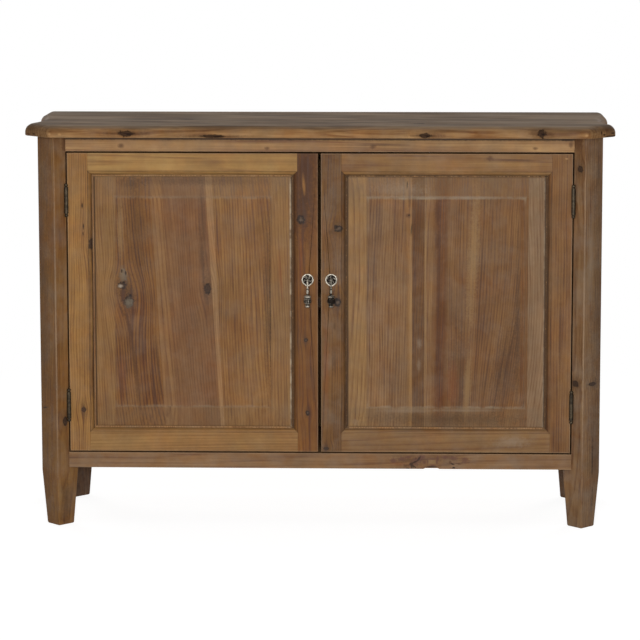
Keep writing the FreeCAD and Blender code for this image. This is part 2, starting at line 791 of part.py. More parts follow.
def save_hardware():
    post_screws = []
    door_screws = []
    for place, middle in zip(("upper", "lower"), hinge_places()):
        save_pair(place + "_hinge_post_leaf", hinge_leaf(middle, False))
        save_pair(place + "_hinge_door_leaf", hinge_leaf(middle, True))
        save_pair(place + "_hinge_pin", hinge_pin(middle))
        post_screws += leaf_screws(middle, False)
        door_screws += leaf_screws(middle, True)
    save("post_hinge_screws", Part.makeCompound(post_screws + [mirror_x(screw) for screw in post_screws]))
    save_pair("door_hinge_screws", Part.makeCompound(door_screws))
    save_pair("pull_rosette", rosette())
    save_pair("pull_stud", pull_stud())
    save_pair("pull_drop", pull_drop())
    save_pair("pull_nut", pull_nut())
    save("magnetic_catches", Part.makeCompound([magnetic_catch(), mirror_x(magnetic_catch())]))
    save_pair("strike_plate", strike_plate())


os.makedirs("parts", exist_ok=True)
save_carcase()
save_doors()
save_hardware()
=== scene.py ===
"""Jelly cupboard in reclaimed pine: its finishes, cast pulls, light and camera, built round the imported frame.

Sizes are millimetres in the cupboard's own frame: +X to the right seen from the front, +Y to the back, +Z up,
with the origin on the floor under its middle. Meshes are made in metres.
"""

import logging
import math
from dataclasses import dataclass
from enum import Enum
from functools import cached_property

import bpy
import numpy as np
from mathutils import Euler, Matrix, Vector


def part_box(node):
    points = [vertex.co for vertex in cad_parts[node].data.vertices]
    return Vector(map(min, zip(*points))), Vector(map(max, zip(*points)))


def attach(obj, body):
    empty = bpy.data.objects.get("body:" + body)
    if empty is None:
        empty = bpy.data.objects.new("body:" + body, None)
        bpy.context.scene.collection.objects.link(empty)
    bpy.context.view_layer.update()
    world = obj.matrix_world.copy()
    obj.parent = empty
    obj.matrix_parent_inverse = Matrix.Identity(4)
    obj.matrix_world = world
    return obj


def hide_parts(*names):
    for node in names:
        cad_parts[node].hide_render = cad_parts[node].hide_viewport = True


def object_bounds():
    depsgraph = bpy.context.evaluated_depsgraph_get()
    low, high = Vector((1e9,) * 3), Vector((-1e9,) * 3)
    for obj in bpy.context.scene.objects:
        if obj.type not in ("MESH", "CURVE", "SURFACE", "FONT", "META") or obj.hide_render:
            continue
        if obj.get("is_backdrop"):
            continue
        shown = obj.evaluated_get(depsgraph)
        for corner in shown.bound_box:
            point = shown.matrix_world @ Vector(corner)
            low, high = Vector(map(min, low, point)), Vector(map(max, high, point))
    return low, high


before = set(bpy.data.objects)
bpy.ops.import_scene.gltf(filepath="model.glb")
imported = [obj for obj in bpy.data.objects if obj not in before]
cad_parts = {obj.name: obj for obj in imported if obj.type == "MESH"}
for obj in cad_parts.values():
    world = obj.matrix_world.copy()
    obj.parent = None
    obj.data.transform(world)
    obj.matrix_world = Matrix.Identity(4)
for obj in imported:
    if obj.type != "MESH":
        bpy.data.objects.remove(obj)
CAD_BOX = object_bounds()

MM = 0.001
FULL_TURN = 2 * math.pi
WHITE, BLACK = "#ffffff", "#000000"
# Half depth of a mark that goes right through its board.
THROUGH = 100000.0
# Y and half depth of the wax on a door panel's front, which doesn't reach its back.
WAX_DEPTH = (-149.0, 11.5)
# How far a door panel runs behind its frame.
SIGHT_LAP = 8.7
# A wave texture of scale 1 repeats after this distance.
WAVE_PERIOD = math.pi / 10
# Edges sharper than this many degrees are eased, after points closer than this are welded.
EASED_ANGLE, WELD_REACH = 40.0, 0.02
# What many nodes are set to: a colour blended by a share, and noise with a seed.
BLEND = {"pick": 2, "data_type": "RGBA"}
SEEDED = {"noise_dimensions": "4D"}
LOG = logging.getLogger("jelly_cupboard")

Socket = bpy.types.NodeSocket
Triple = tuple[float, float, float]


def linear(colour: str) -> tuple[float, float, float, float]:
    """Turns an sRGB hex colour to linear light.

    Args:
        colour: Six hex digits after a hash sign.

    Returns:
        Red, green and blue in linear light, and an alpha of 1.
    """
    parts = np.array([int(colour[i:i + 2], 16) for i in (1, 3, 5)]) / 255
    light = np.where(parts <= 0.04045, parts / 12.92, ((parts + 0.055) / 1.055) ** 2.4)
    return (*light.tolist(), 1.0)


def new_object(name: str, data: bpy.types.ID) -> bpy.types.Object:
    """Makes an object and puts it in the scene.

    Args:
        name: Its name.
        data: Its mesh, light or camera.

    Returns:
        The object.
    """
    made = bpy.data.objects.new(name, data)
    bpy.context.scene.collection.objects.link(made)
    return made


def dress(material: bpy.types.Material, *pieces: bpy.types.Object | str) -> None:
    """Gives pieces one material in place of those they came with.

    Args:
        material: Their finish.
        pieces: New objects, or the names of CAD nodes.
    """
    for piece in pieces:
        slots = (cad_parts[piece] if isinstance(piece, str) else piece).data.materials
        slots.clear()
        slots.append(material)


def middle_and_half(node: str) -> tuple[Vector, Vector]:
    """Finds where a CAD node is.

    Args:
        node: The node's name.

    Returns:
        The middle of its box and half its size, both in millimetres.
    """
    low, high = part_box(node)
    return (low + high) / 2 / MM, (high - low) / 2 / MM


class Side(Enum):
    """The two doors, seen from the front."""

    LEFT = -1
    RIGHT = 1

    @property
    def word(self) -> str:
        """The side's word in node names."""
        return self.name.lower()


class Grain(Enum):
    """The way a board's grain runs, as the turn that brings it upright."""

    ALONG_X = (0.0, -math.pi / 2, 0.0)
    ALONG_Y = (math.pi / 2, 0.0, 0.0)
    ALONG_Z = (0.0, 0.0, 0.0)


def stain(tone: str, cover: float, half_cover: float, half_at: float = 0.5) -> tuple:
    """Lists the rings of a stain of one tone that fades towards its rim.

    Args:
        tone: Its colour.
        cover: How far it covers the wood at its middle.
        half_cover: How far it covers it part of the way out.
        half_at: Where that is, as a share of its reach.

    Returns:
        Each ring's place, colour and cover.
    """
    return (0.0, tone, cover), (half_at, tone, half_cover), (1.0, tone, 0.0)


class MarkKind(Enum):
    """What shows on a board at one spot: rings of colour outwards from its middle, with their cover."""

    KNOT = ((0.0, "#241710", 0.95), (0.4, "#38271b", 0.9), (0.7, "#170e09", 0.92), (1.0, "#3d2a1c", 0.0))
    EYE = ((0.0, "#55463a", 0.9), (0.3, "#493a2e", 0.88), (0.5, "#1a110b", 0.95), (0.78, "#1d130d", 0.88),
           (1.0, "#3d2a1c", 0.0))
    CRACK = ((0.0, "#120b07", 0.95), (0.55, "#1d120b", 0.85), (1.0, "#3a2617", 0.0))
    STREAK = stain("#402616", 0.6, 0.4)
    SHADE = stain("#2e1f14", 0.42, 0.2, 0.6)
    LIGHT = stain("#a9783f", 0.6, 0.4)
    PALE = stain("#a89885", 0.75, 0.5)
    BLOOM = stain("#8f7f6c", 0.35, 0.2)
    # A pale line down a post's arris: wear, and a painted highlight.
    RUB = stain("#97826a", 0.5, 0.3)
    CHIP = ((0.0, "#b08c60", 0.8), (0.6, "#9c7850", 0.6), (1.0, "#7a5636", 0.0))
    RED = stain("#7a3f1c", 0.35, 0.22)
    BLUSH = stain("#482c1a", 0.75, 0.55)
    GREY = ((0.0, "#6d6252", 0.75), (0.55, "#655a4b", 0.6), (1.0, "#5a4c3d", 0.0))
    TAN = stain("#93754d", 0.45, 0.3)
    # A dense dark patch: a stain, the dark of a knot or crack, and also painted shade along edges in shade and
    # a painted shadow under the top.
    GRIME = stain("#2a1b10", 0.85, 0.75, 0.6)
    BARK = stain("#55352c", 0.75, 0.6)

    @property
    def bends_grain(self) -> bool:
        """Whether the growth rings flow round it."""
        return self in (MarkKind.KNOT, MarkKind.EYE)

    @property
    def sinks(self) -> bool:
        """Whether the surface is open there."""
        return self is MarkKind.CRACK


ALONG_X, ALONG_Y, ALONG_Z = Grain
KNOT, EYE, CRACK, STREAK, SHADE, LIGHT, PALE, BLOOM, RUB, CHIP, RED, BLUSH, GREY, TAN, GRIME, BARK = MarkKind


@dataclass(frozen=True)
class Mark:
    """A knot, crack or stain: an ellipsoid that the board's surface cuts.

    Attributes:
        kind: What it is.
        at: Its middle.
        reach: Its half sizes along X, Y and Z.
        turn: Degrees that it leans clockwise, seen from the front.
    """

    kind: MarkKind
    at: Triple
    reach: Triple
    turn: float = 0.0


def face_marks(*rows: tuple, depth: tuple[float, float] = (0.0, THROUGH)) -> tuple[Mark, ...]:
    """Makes marks on a board that faces the front.

    Args:
        rows: Each mark's kind, place across, height, half width, half height and, where it leans, its turn.
        depth: Y of their middle, and their half depth.

    Returns:
        The marks, in the order in which they are laid.
    """
    y, deep = depth
    return tuple(Mark(kind, (x, y, z), (wide, deep, high), *turn) for kind, x, z, wide, high, *turn in rows)


@dataclass(frozen=True)
class Stave:
    """One further strip of a glued-up panel.

    Attributes:
        start: Where its left edge is at mid height.
        lean: How far that edge moves right for each millimetre up.
        tone: Its colour.
        figure: How strongly its grain shows.
        slant: How far its grain moves right for each millimetre up.
        soft: How far its left edge blends to each side.
    """

    start: float
    lean: float
    tone: str
    figure: float = 1.0
    slant: float = 0.0
    soft: float = 0.5


@dataclass(frozen=True)
class Board:
    """One piece of pine, as sawn, or a panel glued from several.

    Attributes:
        node: The CAD node that it is.
        grain: The way its grain runs.
        tone: Colour of its pale early wood, in its leftmost strip if it is glued up.
        pith: Where the middle of the tree was, across and behind the board's own middle.
        tilt: Degrees that the tree's axis leans in the board, which draws arched figure.
        ring: Width of a year's growth.
        seed: Its place in the noise fields.
        grey: How far it has weathered to grey.
        worn: How far its arrises are rubbed pale.
        marks: Its knots, cracks and stains.
        staves: The strips that are glued on to the right of the first, in order.
        figure: How strongly its grain shows.
        slant: How far its grain moves right for each millimetre up.
        haze: How thick old wax lies round a raised field.
        stretch: How many times longer than usual its figure is drawn out.
        fan: Where across the front the grain starts to spread, where it ends, and its slant there.
        dirt: How much dirt and painted shade lie in its moulded edge.
    """

    node: str
    grain: Grain
    tone: str
    pith: tuple[float, float] = (95.0, 60.0)
    tilt: tuple[float, float] = (0.0, 0.0)
    ring: float = 5.0
    seed: float = 0.0
    grey: float = 0.15
    worn: float = 0.5
    marks: tuple[Mark, ...] = ()
    staves: tuple[Stave, ...] = ()
    figure: float = 1.2
    slant: float = 0.0
    haze: float = 0.0
    stretch: float = 1.0
    fan: Triple | None = None
    dirt: float = 1.0

    @property
    def all_marks(self) -> list[Mark]:
        """Lists the marks, after the shade that stretches from each knot along the grain.

        Returns:
            The shades, then the marks.
        """
        along = (1.5, 1.5, 3.0) if self.grain is ALONG_Z else (3.0, 1.5, 1.5)
        shades = [Mark(SHADE, mark.at, tuple(r * a for r, a in zip(mark.reach, along)), mark.turn)
                  for mark in self.marks if mark.kind.bends_grain]
        return [*shades, *self.marks]


@dataclass
class Coat:
    """A material, or the world, whose nodes are being laid.

    Attributes:
        owner: The material or world.
        board: The board that it is for, if any.
    """

    owner: bpy.types.Material | bpy.types.World
    board: Board | None = None

    def __post_init__(self) -> None:
        """Empties the node tree."""
        self.owner.use_nodes = True
        self.owner.node_tree.nodes.clear()

    @cached_property
    def place(self) -> Socket:
        """The point's Object coordinates."""
        return self.add("TexCoord", pick="Object")

    def add(self, kind: str, *inputs: object, pick: int | str = 0, stops: tuple = (),
            sockets: dict | None = None, **settings: object) -> Socket:
        """Adds one node, sets it up and links it.

        Args:
            kind: The node's type without its leading ShaderNode, with its operation after a colon.
            inputs: What goes into the first sockets in order: a socket, a value, or None to leave it be.
            pick: Which output is returned, by place or by name.
            stops: A colour ramp's places with their colours, each a linear colour with its alpha.
            sockets: What goes into sockets given by name or place.
            settings: The node's own properties.

        Returns:
            The chosen output socket, or the first input of a node that ends the tree.
        """
        tree = self.owner.node_tree
        kind, _, operation = kind.partition(":")
        made = tree.nodes.new("ShaderNode" + kind)
        if operation:
            made.operation = operation
        for name, value in settings.items():
            setattr(made, name, value)
        for index, (place, colour) in enumerate(stops):
            spots = made.color_ramp.elements
            spot = spots[index] if index < len(spots) else spots.new(place)
            spot.position = place
            spot.color = colour
        for key, value in [*enumerate(inputs), *(sockets or {}).items()]:
            if isinstance(value, Socket):
                tree.links.new(value, made.inputs[key])
            elif value is not None:
                made.inputs[key].default_value = value
        return made.outputs[pick] if made.outputs else made.inputs[0]

    def off_middle(self, node: str) -> Socket:
        """Measures how far the point is from a CAD node's middle: |x|, |y| and |z|.

        Args:
            node: The node's name.

        Returns:
            The three distances in millimetres.
        """
        middle, _ = middle_and_half(node)
        away = self.add("Mapping", self.place, tuple(middle * MM), (0.0,) * 3, (MM,) * 3,
                        vector_type="TEXTURE")
        return self.add("VectorMath:ABSOLUTE", away)


@dataclass(frozen=True)
class GrainLayer:
    """One noise in the grain, drawn out along it.

    Attributes:
        share: Its weight.
        width: Its size across the grain.
        length: Its size along the grain.
        octaves: How many finer copies lie on it.
        breakup: How strong those are.
    """

    share: float
    width: float
    length: float
    octaves: float = 2.0
    breakup: float = 0.5


@dataclass(frozen=True)
class PineFinish:
    """Reclaimed softwood, planed, stained brown and waxed long ago.

    The eye gets dark late-wood lines a few millimetres apart over paler early wood, fine fibres along the
    grain, broad bands of tone, knots that the lines flow round, and a dull wax sheen. Real fibres are a few
    hundredths of a millimetre wide; they are drawn about three millimetres wide here so that they show.

    Attributes:
        late: What the late wood multiplies the tone by.
        middle: What wood between the two multiplies it by.
        warm_tint: What resin-rich patches multiply the colour by.
        grey_tone: Colour of weathered fibre.
        worn_tone: Colour of a rubbed arris.
        wander: How far growth lines wander sideways.
        wander_size: Width and length over which they do.
        knot_spread: How far a knot bends the lines, in its reaches across, behind and along the grain.
        knot_push: How far it pushes them aside, in its half widths.
        knot_fade: What is left of that push at the end of the spread.
        stave_step: How far apart neighbouring staves lie in the noise fields.
        stave_apart: How far apart in the tree they lay, across and behind, for each unit of that.
        fan_heights: Heights off a panel's middle between which spreading grain straightens.
        fan_left: Share of its slant that is left above them.
        uneven_along: Scale along the grain of the unevenness in the growth lines.
        ring_share: Weight of the growth lines.
        layers: Fibres, broad bands, and streaks a few growth lines wide.
        plain: Density of wood without figure.
        roughness: Roughness of the wax over early wood.
        relief: Height of the raised late wood.
        crack_depth: Depth of an open crack, in reliefs.
        gloss: Level of the wax's mirror reflection.
        mottle: How far worn wax and handling lighten and darken it in patches.
        mottle_size: Size of those patches.
        patch_size: Size of the weathered patches.
        warm_size: Size of the resin-rich patches.
        ragged_size: Size of the unevenness in the rims of marks.
    """

    late: str = "#a58a76"
    middle: str = "#ddd3ca"
    warm_tint: str = "#ffe6cc"
    grey_tone: str = "#7a6e61"
    worn_tone: str = "#967c60"
    wander: float = 26.0
    wander_size: tuple[float, float] = (75.0, 420.0)
    knot_spread: Triple = (2.6, 2.6, 3.4)
    knot_push: float = 1.9
    knot_fade: float = 0.37
    stave_step: float = 3.7
    stave_apart: tuple[float, float] = (11.0, 5.0)
    fan_heights: tuple[float, float] = (-220.0, 180.0)
    fan_left: float = 0.3
    uneven_along: float = 0.12
    ring_share: float = 0.4
    layers: tuple[GrainLayer, ...] = (GrainLayer(1.15, 3.0, 80.0, breakup=0.6), GrainLayer(0.85, 26.0, 320.0),
                                      GrainLayer(1.15, 8.0, 170.0, 4.0, 0.65))
    plain: float = 0.42
    roughness: float = 0.62
    relief: float = 0.35
    crack_depth: float = 2.5
    gloss: float = 0.2
    mottle: float = 0.26
    mottle_size: float = 80.0
    patch_size: float = 38.0
    warm_size: float = 70.0
    ragged_size: float = 5.0

    def material(self, board: Board) -> bpy.types.Material:
        """Builds the finish for one board.

        Args:
            board: The board.

        Returns:
            Its material.
        """
        coat = Coat(bpy.data.materials.new("Waxed reclaimed pine " + board.node.replace("_", " ")), board)
        add = coat.add
        tone, told = self._tone(coat)
        density = self._density(coat, told)
        shades = zip((0.0, 0.5, 1.0), map(linear, (WHITE, self.middle, self.late)))
        ramp = add("ValToRGB", density, stops=tuple(shades))
        colour = add("Mix", sockets={0: 1.0, 6: tone, 7: ramp}, blend_type="MULTIPLY", **BLEND)
        colour = self._weather(coat, colour)
        mottle = add("TexNoise", coat.place, board.seed + 9.0, 1 / (self.mottle_size * MM), 7.0, 0.72,
                     **SEEDED)
        mottle = add("MapRange", mottle, 0.25, 0.75, 1 - self.mottle, 1 + self.mottle)
        colour = add("VectorMath:SCALE", colour, sockets={"Scale": mottle})
        colour = self.extra(coat, colour)
        colour, opened = self._marked(coat, colour)
        height = add("Math:MULTIPLY_ADD", opened, -self.crack_depth, density)
        normal = add("Bump", sockets={"Height": height, "Strength": 0.5, "Distance": self.relief * MM})
        rough = add("MapRange", density, 0.1, 0.9, self.roughness + 0.08, self.roughness - 0.1)
        add("OutputMaterial", add("BsdfPrincipled", sockets={
            "Base Color": colour, "Roughness": rough, "Normal": normal, "Specular IOR Level": self.gloss}))
        return coat.owner

    def extra(self, coat: Coat, colour: Socket) -> Socket:
        """What a variety of the finish lays on before the marks; plain boards have nothing."""
        return colour

    def _tone(self, coat: Coat) -> tuple[Socket | tuple, dict[str, Socket | float]]:
        """Lays out the strips of a glued panel, each with its own tone and its own place in the tree.

        A stave's edge is the line where x - lean * (z - middle) equals its start.

        Args:
            coat: The board's nodes.

        Returns:
            The tone, and by name a number that differs from stave to stave, how strongly the grain shows and
            how far it slants.
        """
        board, add = coat.board, coat.add
        middle, _ = middle_and_half(board.node)
        tone: Socket | tuple = linear(board.tone)
        told: dict[str, Socket | float] = {"shift": board.seed, "figure": board.figure, "slant": board.slant}
        for before, stave in zip((board, *board.staves), board.staves):
            across = add("VectorMath:DOT_PRODUCT", coat.place, (1 / MM, 0.0, -stave.lean / MM), pick="Value")
            edge = stave.start - stave.lean * middle.z
            past = add("MapRange", across, edge - stave.soft, edge + stave.soft)
            tone = add("Mix", sockets={0: past, 6: tone, 7: linear(stave.tone)}, **BLEND)
            steps = {"shift": self.stave_step, "figure": stave.figure - before.figure,
                     "slant": stave.slant - before.slant}
            for name, step in steps.items():
                told[name] = add("Math:MULTIPLY_ADD", past, step, told[name])
        if board.fan:
            start, end, slant = board.fan
            low, high = ((middle.z + height) * MM for height in self.fan_heights)
            parts = add("SeparateXYZ", coat.place).node.outputs
            lower = add("MapRange", parts[2], low, high, slant, self.fan_left * slant)
            spread = add("MapRange", parts[0], start * MM, end * MM)
            told["slant"] = add("Math:MULTIPLY_ADD", spread, lower, told["slant"])
        return tone, told

    def _density(self, coat: Coat, told: dict[str, Socket | float]) -> Socket:
        """Works out how dense the wood is at each point, from 0 in early wood to 1 in late wood.

        Growth lines are circles round the pith, drawn as a saw tooth of the distance to it; the point is
        first pushed off the middle of each knot by a bell curve, and then wanders with a slow noise.

        Args:
            coat: The board's nodes.
            told: What differs from stave to stave, by name.

        Returns:
            The density.
        """
        board, add = coat.board, coat.add
        turn = Euler(board.grain.value).to_matrix()
        middle, _ = middle_and_half(board.node)
        point = add("Mapping", coat.place, tuple(-(turn @ middle)), board.grain.value, (1 / MM,) * 3)
        for mark in board.marks:
            if mark.kind.bends_grain:
                at = turn @ (Vector(mark.at) - middle)
                reach = [max(abs(value), 1.0) for value in turn @ Vector(mark.reach)]
                spread = tuple(half * times for half, times in zip(reach, self.knot_spread))
                away = add("Mapping", point, tuple(at), (0.0,) * 3, spread, vector_type="TEXTURE")
                square = add("VectorMath:DOT_PRODUCT", away, away, pick="Value")
                fade = add("Math:POWER", self.knot_fade, square)
                push = add("VectorMath:SCALE", away, sockets={"Scale": fade})
                point = add("VectorMath:MULTIPLY_ADD", push, (-self.knot_push * reach[0], 0.0, 0.0), point)
        shift, figure, slant = told["shift"], told["figure"], told["slant"]
        if board.staves:
            up = add("SeparateXYZ", point, pick=2)
            moved = add("Math:MULTIPLY", up, slant)
            moved = add("VectorMath:SCALE", (-1.0, 0.0, 0.0), sockets={"Scale": moved})
            point = add("VectorMath:ADD", point, moved)
        point = add("VectorMath:MULTIPLY", point, (1.0, 1.0, 1 / board.stretch))
        wide, long = self.wander_size
        slow = add("VectorMath:MULTIPLY", point, (1 / wide, 1 / wide, 1 / long))
        sway = add("TexNoise", slow, shift, 1.0, 2.0, pick="Color", **SEEDED)
        point = add("VectorMath:MULTIPLY_ADD", sway, (self.wander, self.wander, 0.0), point)
        if board.staves:
            apart = add("VectorMath:SCALE", (*self.stave_apart, 0.0), sockets={"Scale": shift})
            point = add("VectorMath:ADD", point, apart)
        lean = tuple(math.radians(value) for value in board.tilt)
        axis = add("Mapping", point, (-board.pith[0], -board.pith[1], 0.0), (*lean, 0.0), (1.0,) * 3)
        thin = add("VectorMath:MULTIPLY", axis, (1.0, 1.0, self.uneven_along))
        saw = add("TexWave", thin, WAVE_PERIOD / board.ring, pick=1, wave_type="RINGS", rings_direction="Z",
                  wave_profile="SAW", sockets={"Distortion": 5.0, "Detail": 2.0, "Detail Scale": 0.022,
                                               "Detail Roughness": 0.6})
        tooth = zip((0.0, 0.45, 0.86, 1.0), map(linear, (BLACK, "#3a3a3a", WHITE, "#555555")))
        lines = add("ValToRGB", saw, stops=tuple(tooth))
        # The average is taken off each: 0.4 for the growth lines, 0.5 for a noise.
        start = -self.ring_share * 0.4 - sum(layer.share for layer in self.layers) * 0.5
        total = add("Math:MULTIPLY_ADD", lines, self.ring_share, start)
        for layer in self.layers:
            drawn = add("VectorMath:MULTIPLY", point, (1 / layer.width, 1 / layer.width, 1 / layer.length))
            noise = add("TexNoise", drawn, shift, 1.0, layer.octaves, layer.breakup, **SEEDED)
            total = add("Math:MULTIPLY_ADD", noise, layer.share, total)
        return add("Math:MULTIPLY_ADD", total, figure, self.plain, use_clamp=True)

    def _weather(self, coat: Coat, colour: Socket) -> Socket:
        """Greys the wood in patches and rubs its arrises pale.

        A point's distance to the nearest arris is the middle one of its distances to the board's three pairs
        of faces, because the least of them is that to the face it lies on.

        Args:
            coat: The board's nodes.
            colour: The wood's colour.

        Returns:
            The weathered colour.
        """
        board, add, place = coat.board, coat.add, coat.place
        patch = add("TexNoise", place, board.seed + 5.0, 1 / (self.patch_size * MM), 4.0, 0.6, **SEEDED)
        warm = add("TexNoise", place, board.seed + 7.0, 1 / (self.warm_size * MM), 3.0, 0.6, **SEEDED)
        warm = add("MapRange", warm, 0.45, 0.7, 0.0, 0.5)
        colour = add("Mix", sockets={0: warm, 6: colour, 7: linear(self.warm_tint)}, blend_type="MULTIPLY",
                     **BLEND)
        share = add("MapRange", patch, 0.42, 0.68, 0.0, board.grey)
        colour = add("Mix", sockets={0: share, 6: colour, 7: linear(self.grey_tone)}, **BLEND)
        _, half = middle_and_half(board.node)
        inside = add("VectorMath:SUBTRACT", tuple(half), coat.off_middle(board.node))
        parts = add("SeparateXYZ", inside).node.outputs
        least = add("Math:MINIMUM", parts[0], parts[1])
        most = add("Math:MAXIMUM", parts[0], parts[1])
        second = add("Math:MINIMUM", add("Math:MAXIMUM", least, parts[2]), most)
        rub = add("Math:MULTIPLY_ADD", patch, 5.0, second)
        share = add("MapRange", rub, 2.2, 5.0, board.worn, 0.0)
        return add("Mix", sockets={0: share, 6: colour, 7: linear(self.worn_tone)}, **BLEND)

    def _marked(self, coat: Coat, colour: Socket) -> tuple[Socket, Socket | float]:
        """Lays the board's marks on it, each by its distance from the middle in units of its reach.

        Args:
            coat: The board's nodes.
            colour: The wood's colour.

        Returns:
            The colour with the marks, and how far the surface is open.
        """
        board, add, place = coat.board, coat.add, coat.place
        opened: Socket | float = 0.0
        if not board.marks:
            return colour, opened
        ragged = add("TexNoise", place, board.seed + 8.0, 1 / (self.ragged_size * MM), 4.0, 0.7, **SEEDED)
        ragged = add("MapRange", ragged, 0.25, 0.75, -0.5, 0.5)
        for mark in board.all_marks:
            turn = (0.0, math.radians(mark.turn), 0.0)
            away = add("Mapping", place, tuple(Vector(mark.at) * MM), turn, tuple(Vector(mark.reach) * MM),
                       vector_type="TEXTURE")
            away = add("VectorMath:LENGTH", away, pick="Value")
            # A small mark has a more even rim.
            uneven = min(max(min(mark.reach[0], mark.reach[2]) / 10, 0.5), 1.0)
            away = add("Math:MULTIPLY_ADD", ragged, uneven, away)
            stops = tuple((spot, (*linear(tint)[:3], cover)) for spot, tint, cover in mark.kind.value)
            tint, cover = add("ValToRGB", away, stops=stops).node.outputs
            colour = add("Mix", sockets={0: cover, 6: colour, 7: tint}, **BLEND)
            if mark.kind.sinks:
                opened = add("Math:MAXIMUM", cover, opened)
        return colour, opened


@dataclass(frozen=True)
class FrameFinish(PineFinish):
    """The same pine on a door's stiles and rails, with dirt and painted shade in the quirks of the moulded
    edge, and dirt in its mitres.

    Attributes:
        sticking: Width of the moulded edge.
        dirt_tone: Colour of the dirt and painted shade.
        dirt_reach: How far out from the sight edge the dirt and painted shade are drawn.
        dirt_size: Size of its patches.
        stile_dirt: How dense it is on the body of a stile's moulding and in the quirks.
        rail_dirt: The same on a rail.
    """

    sticking: float = 12.0
    dirt_tone: str = "#2b1b10"
    dirt_reach: float = 16.0
    dirt_size: float = 14.0
    stile_dirt: tuple[float, float] = (0.27, 0.7)
    rail_dirt: tuple[float, float] = (0.1, 0.6)

    @staticmethod
    def _outside(coat: Coat, panel: str, lap: float) -> tuple[Socket, Socket]:
        """Works out how far a point lies outside a rectangle on a panel, across and up.

        The distances are |x| and |z| from the panel's middle, less the rectangle's half sizes.

        Args:
            coat: The board's nodes.
            panel: The panel's node.
            lap: How far the panel runs past the rectangle.

        Returns:
            The distances across and up, in millimetres.
        """
        _, half = middle_and_half(panel)
        sight = (half.x - lap, 0.0, half.z - lap)
        away = coat.add("VectorMath:SUBTRACT", coat.off_middle(panel), sight)
        across, _, upright = coat.add("SeparateXYZ", away).node.outputs
        return across, upright

    def extra(self, coat: Coat, colour: Socket) -> Socket:
        """Draws dirt and painted shade by the distance from the sight opening, densest in the quirks, and dirt
        along the mitre where both distances match.

        Args:
            coat: The nodes of the stile or rail.
            colour: The wood's colour.

        Returns:
            The colour with dirt and painted shade.
        """
        board, add = coat.board, coat.add
        across, upright = self._outside(coat, board.node.split("_")[0] + "_door_panel", SIGHT_LAP)
        outside = add("Math:MAXIMUM", across, upright)
        share = add("MapRange", outside, 0.0, self.dirt_reach)
        body, quirk = self.stile_dirt if board.grain is ALONG_Z else self.rail_dirt
        # Density across the moulded edge from the sight edge outwards: dirt, and painted shade in the quirks
        # that lie in shade.
        levels = ((0.0, quirk), (0.06, 0.4), (0.13, 0.05), (0.2, 0.08), (0.3, quirk), (0.36, body),
                  (0.62, body), (0.72, 0.45), (0.76, 0.45), (0.84, 0.0))
        dirt = add("ValToRGB", share, stops=tuple((spot, (level,) * 3 + (1.0,)) for spot, level in levels))
        apart = add("Math:ABSOLUTE", add("Math:SUBTRACT", across, upright))
        mitre = add("MapRange", apart, 0.4, 1.4, 0.75, 0.0)
        inside = add("MapRange", outside, self.sticking, self.sticking + 1.5, 1.0, 0.0)
        dirt = add("Math:MAXIMUM", dirt, add("Math:MULTIPLY", mitre, inside))
        broken = add("TexNoise", coat.place, board.seed + 3.0, 1 / (self.dirt_size * MM), 3.0, 0.6, **SEEDED)
        broken = add("MapRange", broken, 0.3, 0.6, 0.45 * board.dirt, 0.95 * board.dirt)
        dirt = add("Math:MULTIPLY", dirt, broken)
        return add("Mix", sockets={0: dirt, 6: colour, 7: linear(self.dirt_tone)}, **BLEND)


